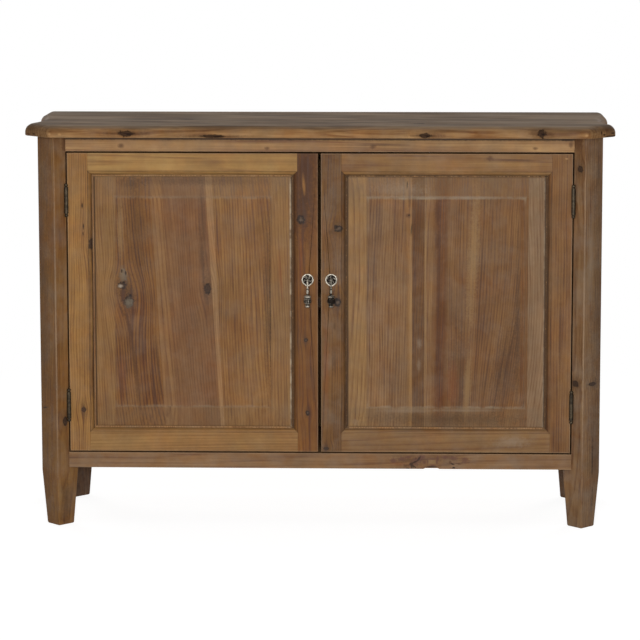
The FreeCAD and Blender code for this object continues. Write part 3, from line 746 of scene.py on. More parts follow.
@dataclass(frozen=True)
class PanelFinish(FrameFinish):
    """The same pine on a raised panel, with pale wax and dust caught round its field, dirt and painted shade at
    its sight edge, and a painted highlight along its right-hand edge.

    Attributes:
        field_margin: How far the field stands in from the sight edge.
        wax_size: Size of the breaks in the wax.
        haze_tone: Colour of the line of old wax.
        dust_tone: Colour of the dust on the margin's ends.
        margin_tone: What the bevelled margin, sanded paler, is mixed towards.
        filler_tone: Colour of the painted highlight along the right-hand sight edge.
    """

    field_margin: float = 42.0
    wax_size: float = 26.0
    haze_tone: str = "#94866f"
    dust_tone: str = "#6a5843"
    margin_tone: str = "#85633f"
    filler_tone: str = "#b3a48c"

    def extra(self, coat: Coat, colour: Socket) -> Socket:
        """Pales the margin, draws wax round the field, dirt and painted shade at the sight edge, and a painted
        highlight along its right-hand side.

        The back of the panel is flat and stays bare.

        Args:
            coat: The panel's nodes.
            colour: The wood's colour.

        Returns:
            The colour with margin, wax, dirt and painted shade, and the painted highlight.
        """
        board, add, margin, bare = coat.board, coat.add, self.field_margin, colour
        across, upright = self._outside(coat, board.node, SIGHT_LAP + margin)
        outside = add("Math:MAXIMUM", across, upright)
        paled = add("MapRange", outside, -0.6, 0.6, 0.0, 0.16)
        broken = add("TexNoise", coat.place, board.seed + 2.0, 1 / (self.wax_size * MM), 4.0, 0.65, **SEEDED)
        gaps = add("MapRange", broken, 0.36, 0.62, 0.1, board.haze)
        dust = add("Math:MULTIPLY", add("MapRange", upright, -4.0, 5.0, 0.0, 0.4), gaps)
        wave = add("Math:SUBTRACT", add("Math:MULTIPLY_ADD", broken, 8.0, outside), 4.0)
        line = add("MapRange", add("Math:ABSOLUTE", wave), 0.6, 4.4, 0.55, 0.0)
        ends = add("MapRange", upright, -14.0, 2.0, 0.15, 1.0)
        wax = add("Math:MULTIPLY", add("Math:MULTIPLY", line, ends), gaps)
        # Dirt and painted shade along the sight edge, where the frame shades the panel: dense beside the
        # stiles, light under and over the rails.
        beside = add("MapRange", across, margin - 3.4, margin - 1.2, 0.0, 0.8)
        above = add("MapRange", upright, margin - 2.2, margin - 1.0, 0.0, 0.25)
        dirt = add("Math:MAXIMUM", beside, above)
        middle, half = middle_and_half(board.node)
        right, deep, _ = add("SeparateXYZ", coat.place).node.outputs
        # A painted highlight along the right-hand sight edge, a little inside it.
        edge = (middle.x + half.x - SIGHT_LAP - 2.6) * MM
        off_edge = add("Math:ABSOLUTE", add("Math:SUBTRACT", right, edge))
        strip = add("MapRange", off_edge, 0.8 * MM, 2.4 * MM, 1.0 - 0.8 * board.haze, 0.0)
        edge_highlight = add("Math:MULTIPLY", strip, add("MapRange", broken, 0.42, 0.58, 0.15, 1.0))
        for share, tone in ((paled, self.margin_tone), (dust, self.dust_tone), (wax, self.haze_tone),
                            (dirt, self.dirt_tone), (edge_highlight, self.filler_tone)):
            colour = add("Mix", sockets={0: share, 6: colour, 7: linear(tone)}, **BLEND)
        behind = add("MapRange", deep, (middle.y + 0.3 * half.y) * MM, (middle.y + 0.7 * half.y) * MM)
        return add("Mix", sockets={0: behind, 6: colour, 7: bare}, **BLEND)


@dataclass(frozen=True)
class TopFinish(PineFinish):
    """The same pine on the top board, greyed by use and light on its upper side, darkened on its rounded edge
    by dirt and painted shade, and on its ends by painted shade.

    Attributes:
        upper_tone: Colour of the greyed upper side.
        scuff_tone: Colour of pale scuffs along the grain.
        round_tone: Colour of the dirt and painted shade on the rounded edge, and of the painted shade on the
            ends.
        blot_size: Size of the blots of dirt on the rounded edge along X, Y and Z.
        scuff_size: Size of the scuffs.
        band_size: Size of the broad bands of scuffs.
    """

    upper_tone: str = "#4c4035"
    scuff_tone: str = "#7f705f"
    round_tone: str = "#45301f"
    blot_size: Triple = (90.0, 40.0, 12.0)
    scuff_size: Triple = (260.0, 26.0, 26.0)
    band_size: Triple = (190.0, 75.0, 75.0)

    def extra(self, coat: Coat, colour: Socket) -> Socket:
        """Darkens the edge's rounding where it turns up, with blots of dirt and painted shade, and the ends
        with painted shade, then greys what faces up, with scuffs and bands along the grain.

        Args:
            coat: The top board's nodes.
            colour: The wood's colour.

        Returns:
            The colour with its greyed upper side.
        """
        add, seed = coat.add, coat.board.seed
        blot, scuff, band = (
            add("TexNoise", add("VectorMath:MULTIPLY", coat.place, tuple(1 / (mm * MM) for mm in size)),
                seed + step, 1.0, octaves, breakup, **SEEDED)
            for size, step, octaves, breakup in (
                (self.blot_size, 1.0, 4.0, 0.6), (self.scuff_size, 0.0, 5.0, 0.62),
                (self.band_size, 4.0, 3.0, 0.6)))
        sideways, _, upwards = add("SeparateXYZ", add("TexCoord", pick="Normal")).node.outputs
        # Dirt in blots, and painted shade on the rounding where it turns up away from the front light.
        worn = add("MapRange", blot, 0.38, 0.62, 0.15, 0.8)
        round_dirt_and_shade = add("Math:MULTIPLY", worn, add("MapRange", upwards, 0.15, 0.6, 0.0, 1.0))
        # Painted shade on the ends, which face sideways.
        ends = add("MapRange", add("Math:ABSOLUTE", sideways), 0.2, 0.8, 0.0, 0.45)
        for share in (round_dirt_and_shade, ends):
            colour = add("Mix", sockets={0: share, 6: colour, 7: linear(self.round_tone)}, **BLEND)
        pale = add("MapRange", add("Math:MULTIPLY_ADD", band, 0.9, scuff), 0.82, 1.08)
        grey = add("Mix", sockets={0: pale, 6: linear(self.upper_tone), 7: linear(self.scuff_tone)}, **BLEND)
        share = add("MapRange", upwards, 0.55, 0.98, 0.0, 0.75)
        return add("Mix", sockets={0: share, 6: colour, 7: grey}, **BLEND)


@dataclass(frozen=True)
class MetalFinish:
    """A cast or wrought metal with a patina in its hollows.

    Attributes:
        name: Common name of the metal and how it was finished.
        bright: Colour where it is rubbed.
        dark: Colour of the patina.
        metallic: How far it is bare metal.
        roughness: Roughness where it is rubbed.
        cover: Share of the patina.
        grit: Width of its grains and pits.
        relief: Depth of its pits.
    """

    name: str
    bright: str
    dark: str
    metallic: float
    roughness: float
    cover: float
    grit: float
    relief: float

    def material(self) -> bpy.types.Material:
        """Builds the finish: cloudy patina, dense in the hollows that a piece has stored, and fine pits.

        Returns:
            The material.
        """
        coat = Coat(bpy.data.materials.new(self.name))
        add = coat.add
        clouds = add("TexNoise", coat.place, None, 1 / (self.grit * 6 * MM), 4.0, 0.6)
        pits = add("TexNoise", coat.place, None, 1 / (self.grit * MM), 3.0, 0.65)
        hollow = add("Attribute", attribute_name="hollow", pick="Fac")
        share = add("MapRange", clouds, 0.35, 0.65, self.cover - 0.25, self.cover + 0.25)
        share = add("Math:MULTIPLY_ADD", pits, 0.3, add("Math:ADD", hollow, share), use_clamp=True)
        colour = add("Mix", sockets={0: share, 6: linear(self.bright), 7: linear(self.dark)}, **BLEND)
        rough = add("MapRange", share, 0.0, 1.0, self.roughness, min(self.roughness + 0.3, 0.9))
        normal = add("Bump", sockets={"Height": pits, "Strength": 0.6, "Distance": self.relief * MM})
        add("OutputMaterial", add("BsdfPrincipled", sockets={
            "Base Color": colour, "Metallic": self.metallic, "Roughness": rough, "Normal": normal}))
        return coat.owner


PINE = PineFinish()
FRAME_PINE = FrameFinish()
PANEL_PINE = PanelFinish()
TOP_PINE = TopFinish(gloss=0.06, roughness=0.72)
INSIDE_PINE = PineFinish(late="#b39a86", roughness=0.7)
# Iron, forged and heat blackened: near black with brown rust in the clouds, and a dull gleam on its knuckles.
IRON = MetalFinish("Blackened wrought iron", "#574b38", "#0f0a06", 0.75, 0.28, 0.5, 1.2, 0.06).material()
# Pewter, cast and antiqued: pale warm grey where hands rub it, brown black in the hollows.
PEWTER = MetalFinish("Antiqued cast pewter", "#bdb5a6", "#1d1712", 0.85, 0.42, 0.14, 0.9, 0.05).material()
# The same pewter where no hand rubs it: mostly brown black.
DARK_PEWTER = MetalFinish("Antiqued cast pewter unrubbed", "#8a8376", "#1d1712", 0.85, 0.45, 0.55, 0.9,
                          0.05).material()
# Steel, zinc plated: cool grey with a fine crystal bloom.
ZINC = MetalFinish("Zinc plated steel", "#b4b6b6", "#6f7070", 0.95, 0.4, 0.3, 1.6, 0.03).material()
# Moulded polystyrene of the catches: dull dark brown with a fine moulded grain.
PLASTIC = MetalFinish("Moulded brown polystyrene", "#3f2d22", "#2c1f17", 0.0, 0.5, 0.4, 0.8, 0.04).material()


def ease_edges(node: str, width: float) -> None:
    """Rounds the arrises of a CAD node a little with modifiers, as hand planing leaves them.

    Args:
        node: The node's name.
        width: How far the rounding reaches.
    """
    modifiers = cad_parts[node].modifiers
    modifiers.new("weld", "WELD").merge_threshold = WELD_REACH * MM
    bevel = modifiers.new("eased_arris", "BEVEL")
    bevel.width = width * MM
    bevel.segments = 2
    bevel.limit_method = "ANGLE"
    bevel.angle_limit = math.radians(EASED_ANGLE)
    modifiers.new("face_weighted", "WEIGHTED_NORMAL")


def ring_mesh(name: str, points: np.ndarray, poles: bool,
              hollow: np.ndarray | None = None) -> bpy.types.Object:
    """Makes a closed surface from a grid of points whose rows are rings.

    Row i's points join to the next point of the row, round to the first, and to row i + 1. With poles, the
    first and last rows are one point each and close as fans; without, the last row joins to the first.

    Args:
        name: The piece's name.
        points: Rows by columns by 3, in millimetres.
        poles: Whether the first and last rows are poles.
        hollow: Rows by columns, how deep in a hollow each point lies, from 0 to 1.

    Returns:
        The new object.
    """
    rows, columns, _ = points.shape
    used = np.arange(rows * columns)
    if poles:
        used = np.r_[0, columns:(rows - 1) * columns + 1]
        body = np.arange(1, len(used) - 1).reshape(-1, columns)
    else:
        body = np.vstack([used.reshape(rows, columns), used[:columns]])
    after = np.roll(body, -1, 1)
    faces = np.stack([body[:-1], after[:-1], after[1:], body[1:]], -1).reshape(-1, 4).tolist()
    if poles:
        start, end = np.zeros(columns, int), np.full(columns, len(used) - 1)
        faces += np.stack([start, after[0], body[0]], -1).tolist()
        faces += np.stack([end, body[-1], after[-1]], -1).tolist()
    mesh = bpy.data.meshes.new(name)
    mesh.from_pydata((points.reshape(-1, 3)[used] * MM).tolist(), [], faces)
    if hollow is not None:
        layer = mesh.attributes.new("hollow", "FLOAT", "POINT")
        layer.data.foreach_set("value", hollow.reshape(-1)[used].astype(np.float32))
    mesh.polygons.foreach_set("use_smooth", np.ones(len(mesh.polygons), bool))
    mesh.update()
    return new_object(name, mesh)


def around(count: int) -> np.ndarray:
    """Angles evenly round a circle."""
    return np.linspace(0, FULL_TURN, count, endpoint=False)


def bell(values: np.ndarray, middle: float, width: float, power: int = 2) -> np.ndarray:
    """A bell curve: e to the minus ((value - middle) / width) to the power."""
    return np.exp(-((values - middle) / width) ** power)


def smooth_through(points: np.ndarray, steps: int) -> np.ndarray:
    """Joins points by cubics: p = p1 + (t a + t^2 b + t^3 c) / 2 from each four in a row.

    Args:
        points: The points, one a row.
        steps: Points made for each span.

    Returns:
        The finer line of points.
    """
    padded = np.vstack([points[:1], points, points[-1:]])
    p0, p1, p2, p3 = (padded[i:len(padded) - 3 + i, None, :] for i in range(4))
    t = np.linspace(0, 1, steps, endpoint=False)[None, :, None]
    spans = p1 + (t * (p2 - p0) + t ** 2 * (2 * p0 - 5 * p1 + 4 * p2 - p3)
                  + t ** 3 * (3 * p1 - p0 - 3 * p2 + p3)) / 2
    return np.vstack([spans.reshape(-1, points.shape[1]), points[-1:]])


@dataclass
class DropPull:
    """A cast rosette and the turned drop that hangs before it.

    Attributes:
        side: Which door it is on.
        across: Distance of its middle from the middle of the cupboard.
        rise: Height of its middle.
        face: Y of the door's face.
        pivot: Y of the cross pin that the drop hangs on.
        radius: Radius of the rosette.
        ripple: How far the rosette's outline ripples, as a share of the radius.
        toe: How far the outline swells to its point below, as a share of the radius, and how wide in radians.
        petals: Curled hollows in each ring of the rosette, and half the ripples and half the urn's flutes.
        swirl: Radians that the hollows turn on from the middle to the rim.
        hollows: For each ring of them its place and width as shares of the radius, its depth, which way its
            crests lie and how broad they are.
        groove: Place and width of the groove inside the rim, as shares of the radius.
        inner_patina: Share of the radius inside which the patina lies thicker, and by how much.
        rim_rows: Rows of the rosette from its back's middle over the rim to where the face sinks.
        urn: Height of the urn's middle off the pin, and half its height.
        flute: Depth of the urn's flutes.
        eye_ring: Radius of the eye, and half the thickness and half the width of its ring.
        columns: Points round each ring.
    """

    side: Side
    across: float = 24.3
    rise: float = 517.8
    face: float = -152.7
    pivot: float = -162.9
    radius: float = 12.8
    ripple: float = 0.015
    toe: tuple[float, float] = (0.14, 0.3)
    petals: int = 5
    swirl: float = 2.6
    hollows: tuple[tuple[float, ...], ...] = ((0.58, 0.13, 1.3, 1.0, 0.45), (0.33, 0.07, 1.1, -1.0, 0.2))
    groove: tuple[float, float] = (0.75, 0.025)
    inner_patina: tuple[float, float] = (0.76, 0.42)
    rim_rows: int = 12
    urn: tuple[float, float] = (-42.8, 4.6)
    flute: float = 0.28
    eye_ring: Triple = (2.2, 0.8, 0.95)
    columns: int = 96

    def spot(self, y: float) -> np.ndarray:
        """A point on the pull's axis, at a depth."""
        return np.array([self.side.value * self.across, y, self.rise])

    def rosette(self) -> bpy.types.Object:
        """Makes the rosette: rings from the back's middle over the rim to the front's middle.

        Each ring lies at a share of the outline radius and at a height off the door. The outline swells to a
        point below by a bell curve of the angle. Inside the broad rim the face sinks in two rings of curled
        hollows: depth is a bell curve across the ring times the rounded crests of a cosine round it, whose
        angle turns on with the radius.

        Returns:
            The rosette.
        """
        share = np.array([0, .35, .7, .95, .99, 1, 1, .985, .96, .92, .87, .82, .78, .75,
                          *np.linspace(.73, .24, 26), .2, .15, .08, 0])[:, None]
        lift = np.array([0, 0, 0, 0, .12, .45, 1.1, 1.65, 2.05, 2.3, 2.4, 2.3, 2.0, 1.6,
                         *np.linspace(1.4, 2.7, 26), 3.0, 3.3, 3.5, 3.5])[:, None]
        angle = around(self.columns)
        off_toe = (angle - 1.5 * math.pi + math.pi) % FULL_TURN - math.pi
        swell, swell_width = self.toe
        ripple = self.ripple * (np.cos(2 * self.petals * angle) - 1)
        ring = share * self.radius * (1 + ripple + swell * bell(off_toe, 0, swell_width))
        front = (np.arange(len(share)) > self.rim_rows)[:, None]
        curl = np.cos(self.petals * (angle + self.side.value * self.swirl * share))
        depth = front * sum(deep * bell(share, at, width) * np.clip(way * curl + broad, 0, 1) ** 0.6
                            for at, width, deep, way, broad in self.hollows)
        points = np.stack([ring * np.cos(angle), depth - lift, ring * np.sin(angle)], -1)
        limit, thicker = self.inner_patina
        patina = depth + bell(share, *self.groove) * front + thicker * front * (share < limit)
        piece = ring_mesh(f"{self.side.word}_cast_rosette", points + self.spot(self.face), True,
                          np.clip(patina, 0, 1))
        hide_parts(f"{self.side.word}_pull_rosette")
        return self._finish(piece, f"{self.side.word}_door")

    def drop(self) -> bpy.types.Object:
        """Makes the drop: a turned profile, radius against height off the pin, with flutes on its urn.

        The profile's points are joined by a smooth curve, a cubic through each four in a row. The flutes'
        depth is 1 less the size of a cosine round the urn. The patina is dense in the profile's narrow
        places, on the urn and in its flutes, and hands have rubbed the left drop brighter than the right.

        Returns:
            The drop.
        """
        profile = np.array([
            (-2.6, 0.0), (-2.9, 1.2), (-4.5, 1.75), (-8.0, 1.6), (-12.5, 1.4), (-15.6, 1.55), (-16.6, 2.6),
            (-17.6, 2.7), (-18.4, 1.8), (-19.6, 1.95), (-22.5, 2.95), (-25.6, 2.4), (-28.0, 1.8),
            (-29.6, 2.2), (-31.0, 4.4), (-32.6, 6.4), (-34.2, 7.0), (-35.6, 6.6), (-36.6, 5.9),
            (-38.0, 6.7), (-40.6, 7.7), (-43.5, 7.9), (-46.4, 7.1), (-48.6, 5.4), (-49.8, 4.0),
            (-50.6, 3.5), (-51.6, 4.1), (-52.8, 4.8), (-54.4, 4.8), (-55.9, 3.4), (-57.0, 0.0)])
        narrow_places = ((-18.4, .8), (-29.0, 1.2), (-36.6, .8), (-50.4, 1.2))
        smooth = smooth_through(profile, 5)
        height, angle = smooth[:, :1], around(self.columns)
        urn = bell(height, *self.urn, 4)
        flute = self.flute * urn * (1 - np.abs(np.cos(self.petals * angle)))
        radius = np.clip(smooth[:, 1:], 0, None) - flute
        points = np.stack([radius * np.cos(angle), radius * np.sin(angle), height + 0 * angle], -1)
        points = points + self.spot(self.pivot)
        narrow = sum(bell(height, middle, width) for middle, width in narrow_places)
        darkening = 0.12 if self.side is Side.LEFT else 0.4
        hollow = np.clip(darkening + 0.75 * narrow + 0.45 * urn + 1.6 * flute, 0, 1)
        piece = ring_mesh(f"{self.side.word}_turned_drop", points[::-1], True, hollow[::-1])
        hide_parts(f"{self.side.word}_pull_drop")
        return self._finish(piece, f"{self.side.word}_drop")

    def eye(self) -> bpy.types.Object:
        """Makes the drop's eye: a ring round the pin, a circle carried round a circle.

        Returns:
            The eye.
        """
        large, small = around(48)[:, None], around(20)
        radius, thick, wide = self.eye_ring
        reach = radius + thick * np.cos(small)
        across = wide * np.sin(small) + 0 * large
        points = np.stack([across, reach * np.cos(large), reach * np.sin(large)], -1)
        hollow = np.clip(0.3 - 0.3 * np.cos(small) + 0 * large, 0, 1)
        piece = ring_mesh(f"{self.side.word}_drop_eye", points + self.spot(self.pivot), False, hollow)
        return self._finish(piece, f"{self.side.word}_drop")

    def build(self) -> list[str]:
        """Makes and dresses the whole pull.

        Returns:
            The names of its new pieces.
        """
        dress(DARK_PEWTER, f"{self.side.word}_pull_stud")
        return [piece.name for piece in (self.rosette(), self.drop(), self.eye())]

    def _finish(self, piece: bpy.types.Object, body: str) -> bpy.types.Object:
        """Rides a piece on its body and gives it the pewter.

        Args:
            piece: The piece.
            body: The body's name.

        Returns:
            The piece.
        """
        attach(piece, body)
        dress(PEWTER, piece)
        return piece


@dataclass
class Door:
    """A framed door with its glued panel, hinge leaves and pull.

    Attributes:
        side: Which door it is.
        boards: Its hinge stile, meeting stile, top rail, bottom rail and panel.
        bed: Y of the fillet between the moulded edge and the panel.
        bead_in: How far outside the sight edge the bead's near side lies.
        bead_width: Width of the bead on that fillet.
        bead_height: How far the bead stands off it.
        bead_foot: How far it reaches into it.
        bead_points: Points over the bead's round.
        bead_tone: Colour of the bead.
        eased: How far the frame's arrises are rounded.
    """

    side: Side
    boards: tuple[Board, ...]
    bed: float = -144.5
    bead_in: float = 0.7
    bead_width: float = 3.0
    bead_height: float = 1.9
    bead_foot: float = 0.4
    bead_points: int = 13
    bead_tone: str = "#9a774f"
    eased: float = 0.7

    def bead(self) -> bpy.types.Object:
        """Makes the bead: half an ellipse carried round the sight opening, mitred at its corners.

        Each point of the profile, at its distance from the sight edge and its height, is carried round a
        rectangle that is larger than the opening by that distance on every side.

        Returns:
            The bead.
        """
        word = self.side.word
        middle, half = middle_and_half(f"{word}_door_panel")
        angle = np.linspace(math.pi, 0, self.bead_points)
        off = self.bead_in + self.bead_width * (0.5 + 0.5 * np.cos(angle))
        off = np.concatenate([off, off[[-1, 0]]])
        high = np.concatenate([self.bead_height * np.sin(angle), [-self.bead_foot] * 2])
        signs = np.array([[-1.0, -1.0], [1.0, -1.0], [1.0, 1.0], [-1.0, 1.0]])
        size = np.array([half.x - SIGHT_LAP, half.z - SIGHT_LAP])
        corners = signs[:, None, :] * (size + off[None, :, None])
        depth = np.broadcast_to(self.bed - high, (4, len(off)))
        points = np.stack([middle.x + corners[..., 0], depth, middle.z + corners[..., 1]], -1)
        piece = ring_mesh(f"{word}_door_bead", points, False)
        piece.data.polygons.foreach_set("use_smooth", np.zeros(len(piece.data.polygons), bool))
        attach(piece, f"{word}_door")
        # Painted shade on the sides of the bead that lie in shade: the right side on both doors, and the left
        # side and top on the right door.
        painted_shade_sides = [(GRIME, middle.x + half.x, middle.z, 14, THROUGH)]
        if self.side is Side.RIGHT:
            painted_shade_sides += [(GRIME, middle.x - half.x, middle.z, 14, THROUGH),
                           (GRIME, middle.x, middle.z + half.z, THROUGH, 9)]
        wood = Board(f"{word}_door_panel", ALONG_Z, self.bead_tone, seed=self.boards[3].seed, grey=0.3,
                     marks=face_marks(*painted_shade_sides))
        dress(PINE.material(wood), piece)
        return piece

    def build(self) -> list[str]:
        """Dresses the door's pieces and lays its bead.

        Returns:
            The names of its nodes.
        """
        word = self.side.word
        *framing, panel = self.boards
        for board in framing:
            dress(FRAME_PINE.material(board), board.node)
            ease_edges(board.node, self.eased)
        dress(PANEL_PINE.material(panel), panel.node)
        leaves = [f"{word}_{place}_hinge_door_leaf" for place in ("upper", "lower")]
        dress(IRON, *leaves, f"{word}_door_hinge_screws")
        dress(ZINC, f"{word}_pull_nut", f"{word}_strike_plate")
        return [board.node for board in self.boards] + leaves + [self.bead().name]


@dataclass
class Carcase:
    """Everything that stands still: top, posts, rails, panels, boards inside and fixed hardware.

    Attributes:
        top: The top board.
        outside: Boards with the weathered finish.
        inside: Boards with the plain finish.
        eased: How far the outer boards' arrises are rounded.
    """

    top: Board
    outside: tuple[Board, ...]
    inside: tuple[Board, ...]
    eased: float = 0.8

    def build(self) -> list[str]:
        """Dresses the carcase's pieces.

        Returns:
            The names of its nodes.
        """
        dress(TOP_PINE.material(self.top), self.top.node)
        for board in self.outside:
            dress(PINE.material(board), board.node)
            ease_edges(board.node, self.eased)
        for board in self.inside:
            dress(INSIDE_PINE.material(board), board.node)
        iron = ["post_hinge_screws"]
        iron += [f"{side.word}_{place}_hinge_{part}" for side in Side for place in ("upper", "lower")
                 for part in ("post_leaf", "pin")]
        dress(IRON, *iron)
        dress(ZINC, "top_fixing_screws")
        dress(PLASTIC, "magnetic_catches")
        return [board.node for board in (self.top, *self.outside, *self.inside)] + iron


def left_door_boards() -> tuple[Board, ...]:
    """Lists the left door's boards as the photograph shows them.

    Returns:
        Hinge stile, meeting stile, top rail, bottom rail and panel.
    """
    hinge_stile = Board("left_door_hinge_stile", ALONG_Z, "#8f6939", (-130.0, 40.0), ring=4.6, seed=1.3,
                        dirt=1.25, marks=face_marks(
        (KNOT, -490, 244, 5.5, 6.5), (STREAK, -490, 236, 4, 34), (CRACK, -488, 670, 1.8, 7),
        (CRACK, -486, 627, 1.4, 8), (CRACK, -487, 612, 1.2, 5), (KNOT, -470, 590, 7, 13),
        (CRACK, -467.5, 548, 2.4, 34), (CRACK, -467, 480, 1.6, 42), (CRACK, -467, 400, 1.5, 40),
        (SHADE, -468, 340, 4, 130), (STREAK, -470, 300, 2, 70)))
    # The long shade down its moulded edge, at x -52, is painted shade.
    meeting_stile = Board("left_door_meeting_stile", ALONG_Z, "#724b23", (45.0, 50.0), (0.0, 1.2), 5.2, 2.1,
                          0.08, dirt=0.8, marks=face_marks(
        (STREAK, -30, 740, 34, 190), (STREAK, -30, 720, 40, 130), (SHADE, -34, 668, 14, 46),
        (EYE, -38, 643, 10, 10), (BLUSH, -36, 664, 7, 16, 8), (LIGHT, -32, 716, 4, 27, -4),
        (STREAK, -27, 745, 18, 40), (EYE, -28, 392, 4.5, 5), (EYE, -25, 239, 5, 6),
        (RED, -38, 560, 5, 60), (SHADE, -52, 470, 6, 260)))
    top_rail = Board("left_door_top_rail", ALONG_X, "#a1804c", (20.0, 120.0), (1.0, 0.0), 3.6, 3.4, 0.08,
                     figure=0.75, stretch=3.2)
    bottom_rail = Board("left_door_bottom_rail", ALONG_X, "#927043", (-40.0, 70.0), (2.0, 0.0), 4.4, 4.2, 0.1,
                        figure=0.75, stretch=3.0, dirt=0.55)
    staves = (Stave(-422.0, 0.012, "#744f29", 2.0, -0.05), Stave(-335.0, -0.057, "#7f5d3a", 1.2, -0.06),
              Stave(-309.0, -0.063, "#765435", 0.8, -0.06), Stave(-220.5, -0.058, "#93724d", 0.7, -0.055),
              Stave(-209.5, -0.045, "#815e36", 1.3, -0.02), Stave(-101.0, 0.0, "#81613b", 1.3, -0.01))
    # On the panel, the two shades along the top margin are a painted shadow under the top rail, and the crack
    # and shade down the field's right step, at x -102 and -108, are a painted shadow of that step.
    panel = Board("left_door_panel", ALONG_Z, "#815f37", (70.0, 25.0), (0.0, 1.6), 5.6, 5.7, 0.16, 0.0,
                  staves=staves, figure=1.3, slant=-0.015, haze=0.55, marks=face_marks(
        (SHADE, -375, 620, 28, 110), (TAN, -410, 620, 8, 70), (SHADE, -400, 490, 22, 46),
        (GREY, -405, 527, 10, 22), (KNOT, -408, 504, 10, 9), (PALE, -411, 503, 6.5, 5),
        (BLUSH, -407, 488, 10, 9), (BLUSH, -404, 477, 9, 12), (KNOT, -394, 471, 13, 15),
        (GREY, -394, 468, 11, 13), (CRACK, -391, 484, 4, 3.5), (CRACK, -404, 511, 4, 3),
        (CRACK, -408, 534, 1.8, 5), (CRACK, -400, 530, 1.6, 6), (BLUSH, -409, 452, 3.2, 24, -20),
        (BLUSH, -396, 425, 5, 36, -12), (STREAK, -386, 368, 5, 70, -5), (STREAK, -378, 300, 7, 72, -5),
        (STREAK, -334, 332, 5, 92, -5), (STREAK, -345, 300, 4, 80, -5), (RED, -410, 300, 9, 60),
        (STREAK, -411, 290, 6, 45), (KNOT, -231, 498, 8.5, 14), (SHADE, -240, 640, 7, 110, -3),
        (SHADE, -242, 560, 6, 90, -4), (RED, -80, 520, 5, 60, -5), (SHADE, -385, 715, 34, 16),
        (SHADE, -250, 722, 190, 13), (CRACK, -102, 470, 1.0, 215), (SHADE, -108, 470, 9, 215)))
    return hinge_stile, meeting_stile, top_rail, bottom_rail, panel


def right_door_boards() -> tuple[Board, ...]:
    """Lists the right door's boards as the photograph shows them.

    Returns:
        Hinge stile, meeting stile, top rail, bottom rail and panel.
    """
    # The long shade down its moulded edge, at x 470, is painted shade.
    hinge_stile = Board("right_door_hinge_stile", ALONG_Z, "#775532", (110.0, 45.0), ring=4.8, seed=6.1,
                        marks=face_marks(
        (CHIP, 505, 769, 4.5, 2.2), (SHADE, 470, 470, 4, 260), (STREAK, 496, 400, 4, 120)))
    meeting_stile = Board("right_door_meeting_stile", ALONG_Z, "#6c4c29", (-50.0, 40.0), (0.0, -1.4), 5.0,
                          7.7, 0.3, marks=face_marks(
        (EYE, 39, 624, 10, 9), (SHADE, 23, 616, 9, 10), (GRIME, 37, 471, 11, 10.5),
        (EYE, 37, 471, 9.5, 9), (SHADE, 31, 421, 4, 12), (RED, 14, 330, 7, 120), (SHADE, 30, 350, 7, 40),
        (KNOT, 14, 164, 7, 4)))
    top_rail = Board("right_door_top_rail", ALONG_X, "#8a683f", (30.0, 110.0), (1.2, 0.0), 5.4, 8.8, 0.2,
                     marks=face_marks((BLUSH, 349, 769, 9, 7), (STREAK, 400, 766, 70, 3)), figure=0.9,
                     stretch=2.6)
    bottom_rail = Board("right_door_bottom_rail", ALONG_X, "#82633f", (-20.0, 75.0), (2.2, 0.0), 5.6, 9.4,
                        0.2, marks=face_marks((BLOOM, 400, 180, 45, 14)), figure=0.8, stretch=2.8, dirt=0.3)
    staves = (Stave(97.0, 0.0, "#7b5c3c", 1.3), Stave(181.0, -0.01, "#906b3f", 0.9, 0.0, 4.0),
              Stave(191.0, -0.002, "#614122", 1.2), Stave(216.0, 0.0, "#82613d", 1.1),
              Stave(236.0, 0.006, "#633d1b", 1.3, 0.0, 8.0), Stave(261.0, 0.01, "#745331", 1.1, 0.0, 5.0),
              Stave(414.0, 0.0, "#6b4826", 1.2, -0.1), Stave(429.0, 0.0, "#7f674e", 1.2, -0.1))
    figure = face_marks(
        (BLUSH, 183, 651, 7, 6.5), (CRACK, 184, 652, 2.6, 2), (STREAK, 185, 690, 4, 36),
        (SHADE, 260, 226, 190, 17), (CRACK, 189, 622, 1.8, 16, 4), (CRACK, 180, 713, 1.3, 11, 5),
        (TAN, 188, 470, 4, 240), (TAN, 218, 480, 3, 300), (BLUSH, 243, 660, 8, 34),
        (BLUSH, 244, 600, 8, 24), (STREAK, 246, 470, 6, 210), (SHADE, 290, 330, 26, 120),
        (TAN, 316, 560, 14, 170, 3), (TAN, 306, 300, 10, 90, 3), (STREAK, 330, 480, 3, 190, 3),
        (STREAK, 345, 320, 3, 110, 8), (STREAK, 372, 320, 3, 110, 10), (STREAK, 395, 380, 3, 110, 11),
        (SHADE, 385, 340, 34, 120, 10), (SHADE, 408, 440, 7, 220), (RED, 275, 300, 16, 60))
    wax = face_marks(
        (BLOOM, 205, 340, 6, 16), (BLOOM, 206, 385, 7, 14), (BLOOM, 75, 218, 10, 10),
        (BLOOM, 165, 706, 70, 20), (BLOOM, 230, 688, 170, 5), (BLOOM, 320, 688, 80, 4),
        (BLOOM, 180, 244, 80, 6), (BLOOM, 300, 245, 90, 4),
        depth=WAX_DEPTH)
    panel = Board("right_door_panel", ALONG_Z, "#8f6f46", (-80.0, 30.0), (0.0, -1.8), 5.4, 10.9, 0.2, 0.0,
                  figure + wax, staves, 1.1, haze=1.0, fan=(300.0, 420.0, 0.15))
    return hinge_stile, meeting_stile, top_rail, bottom_rail, panel


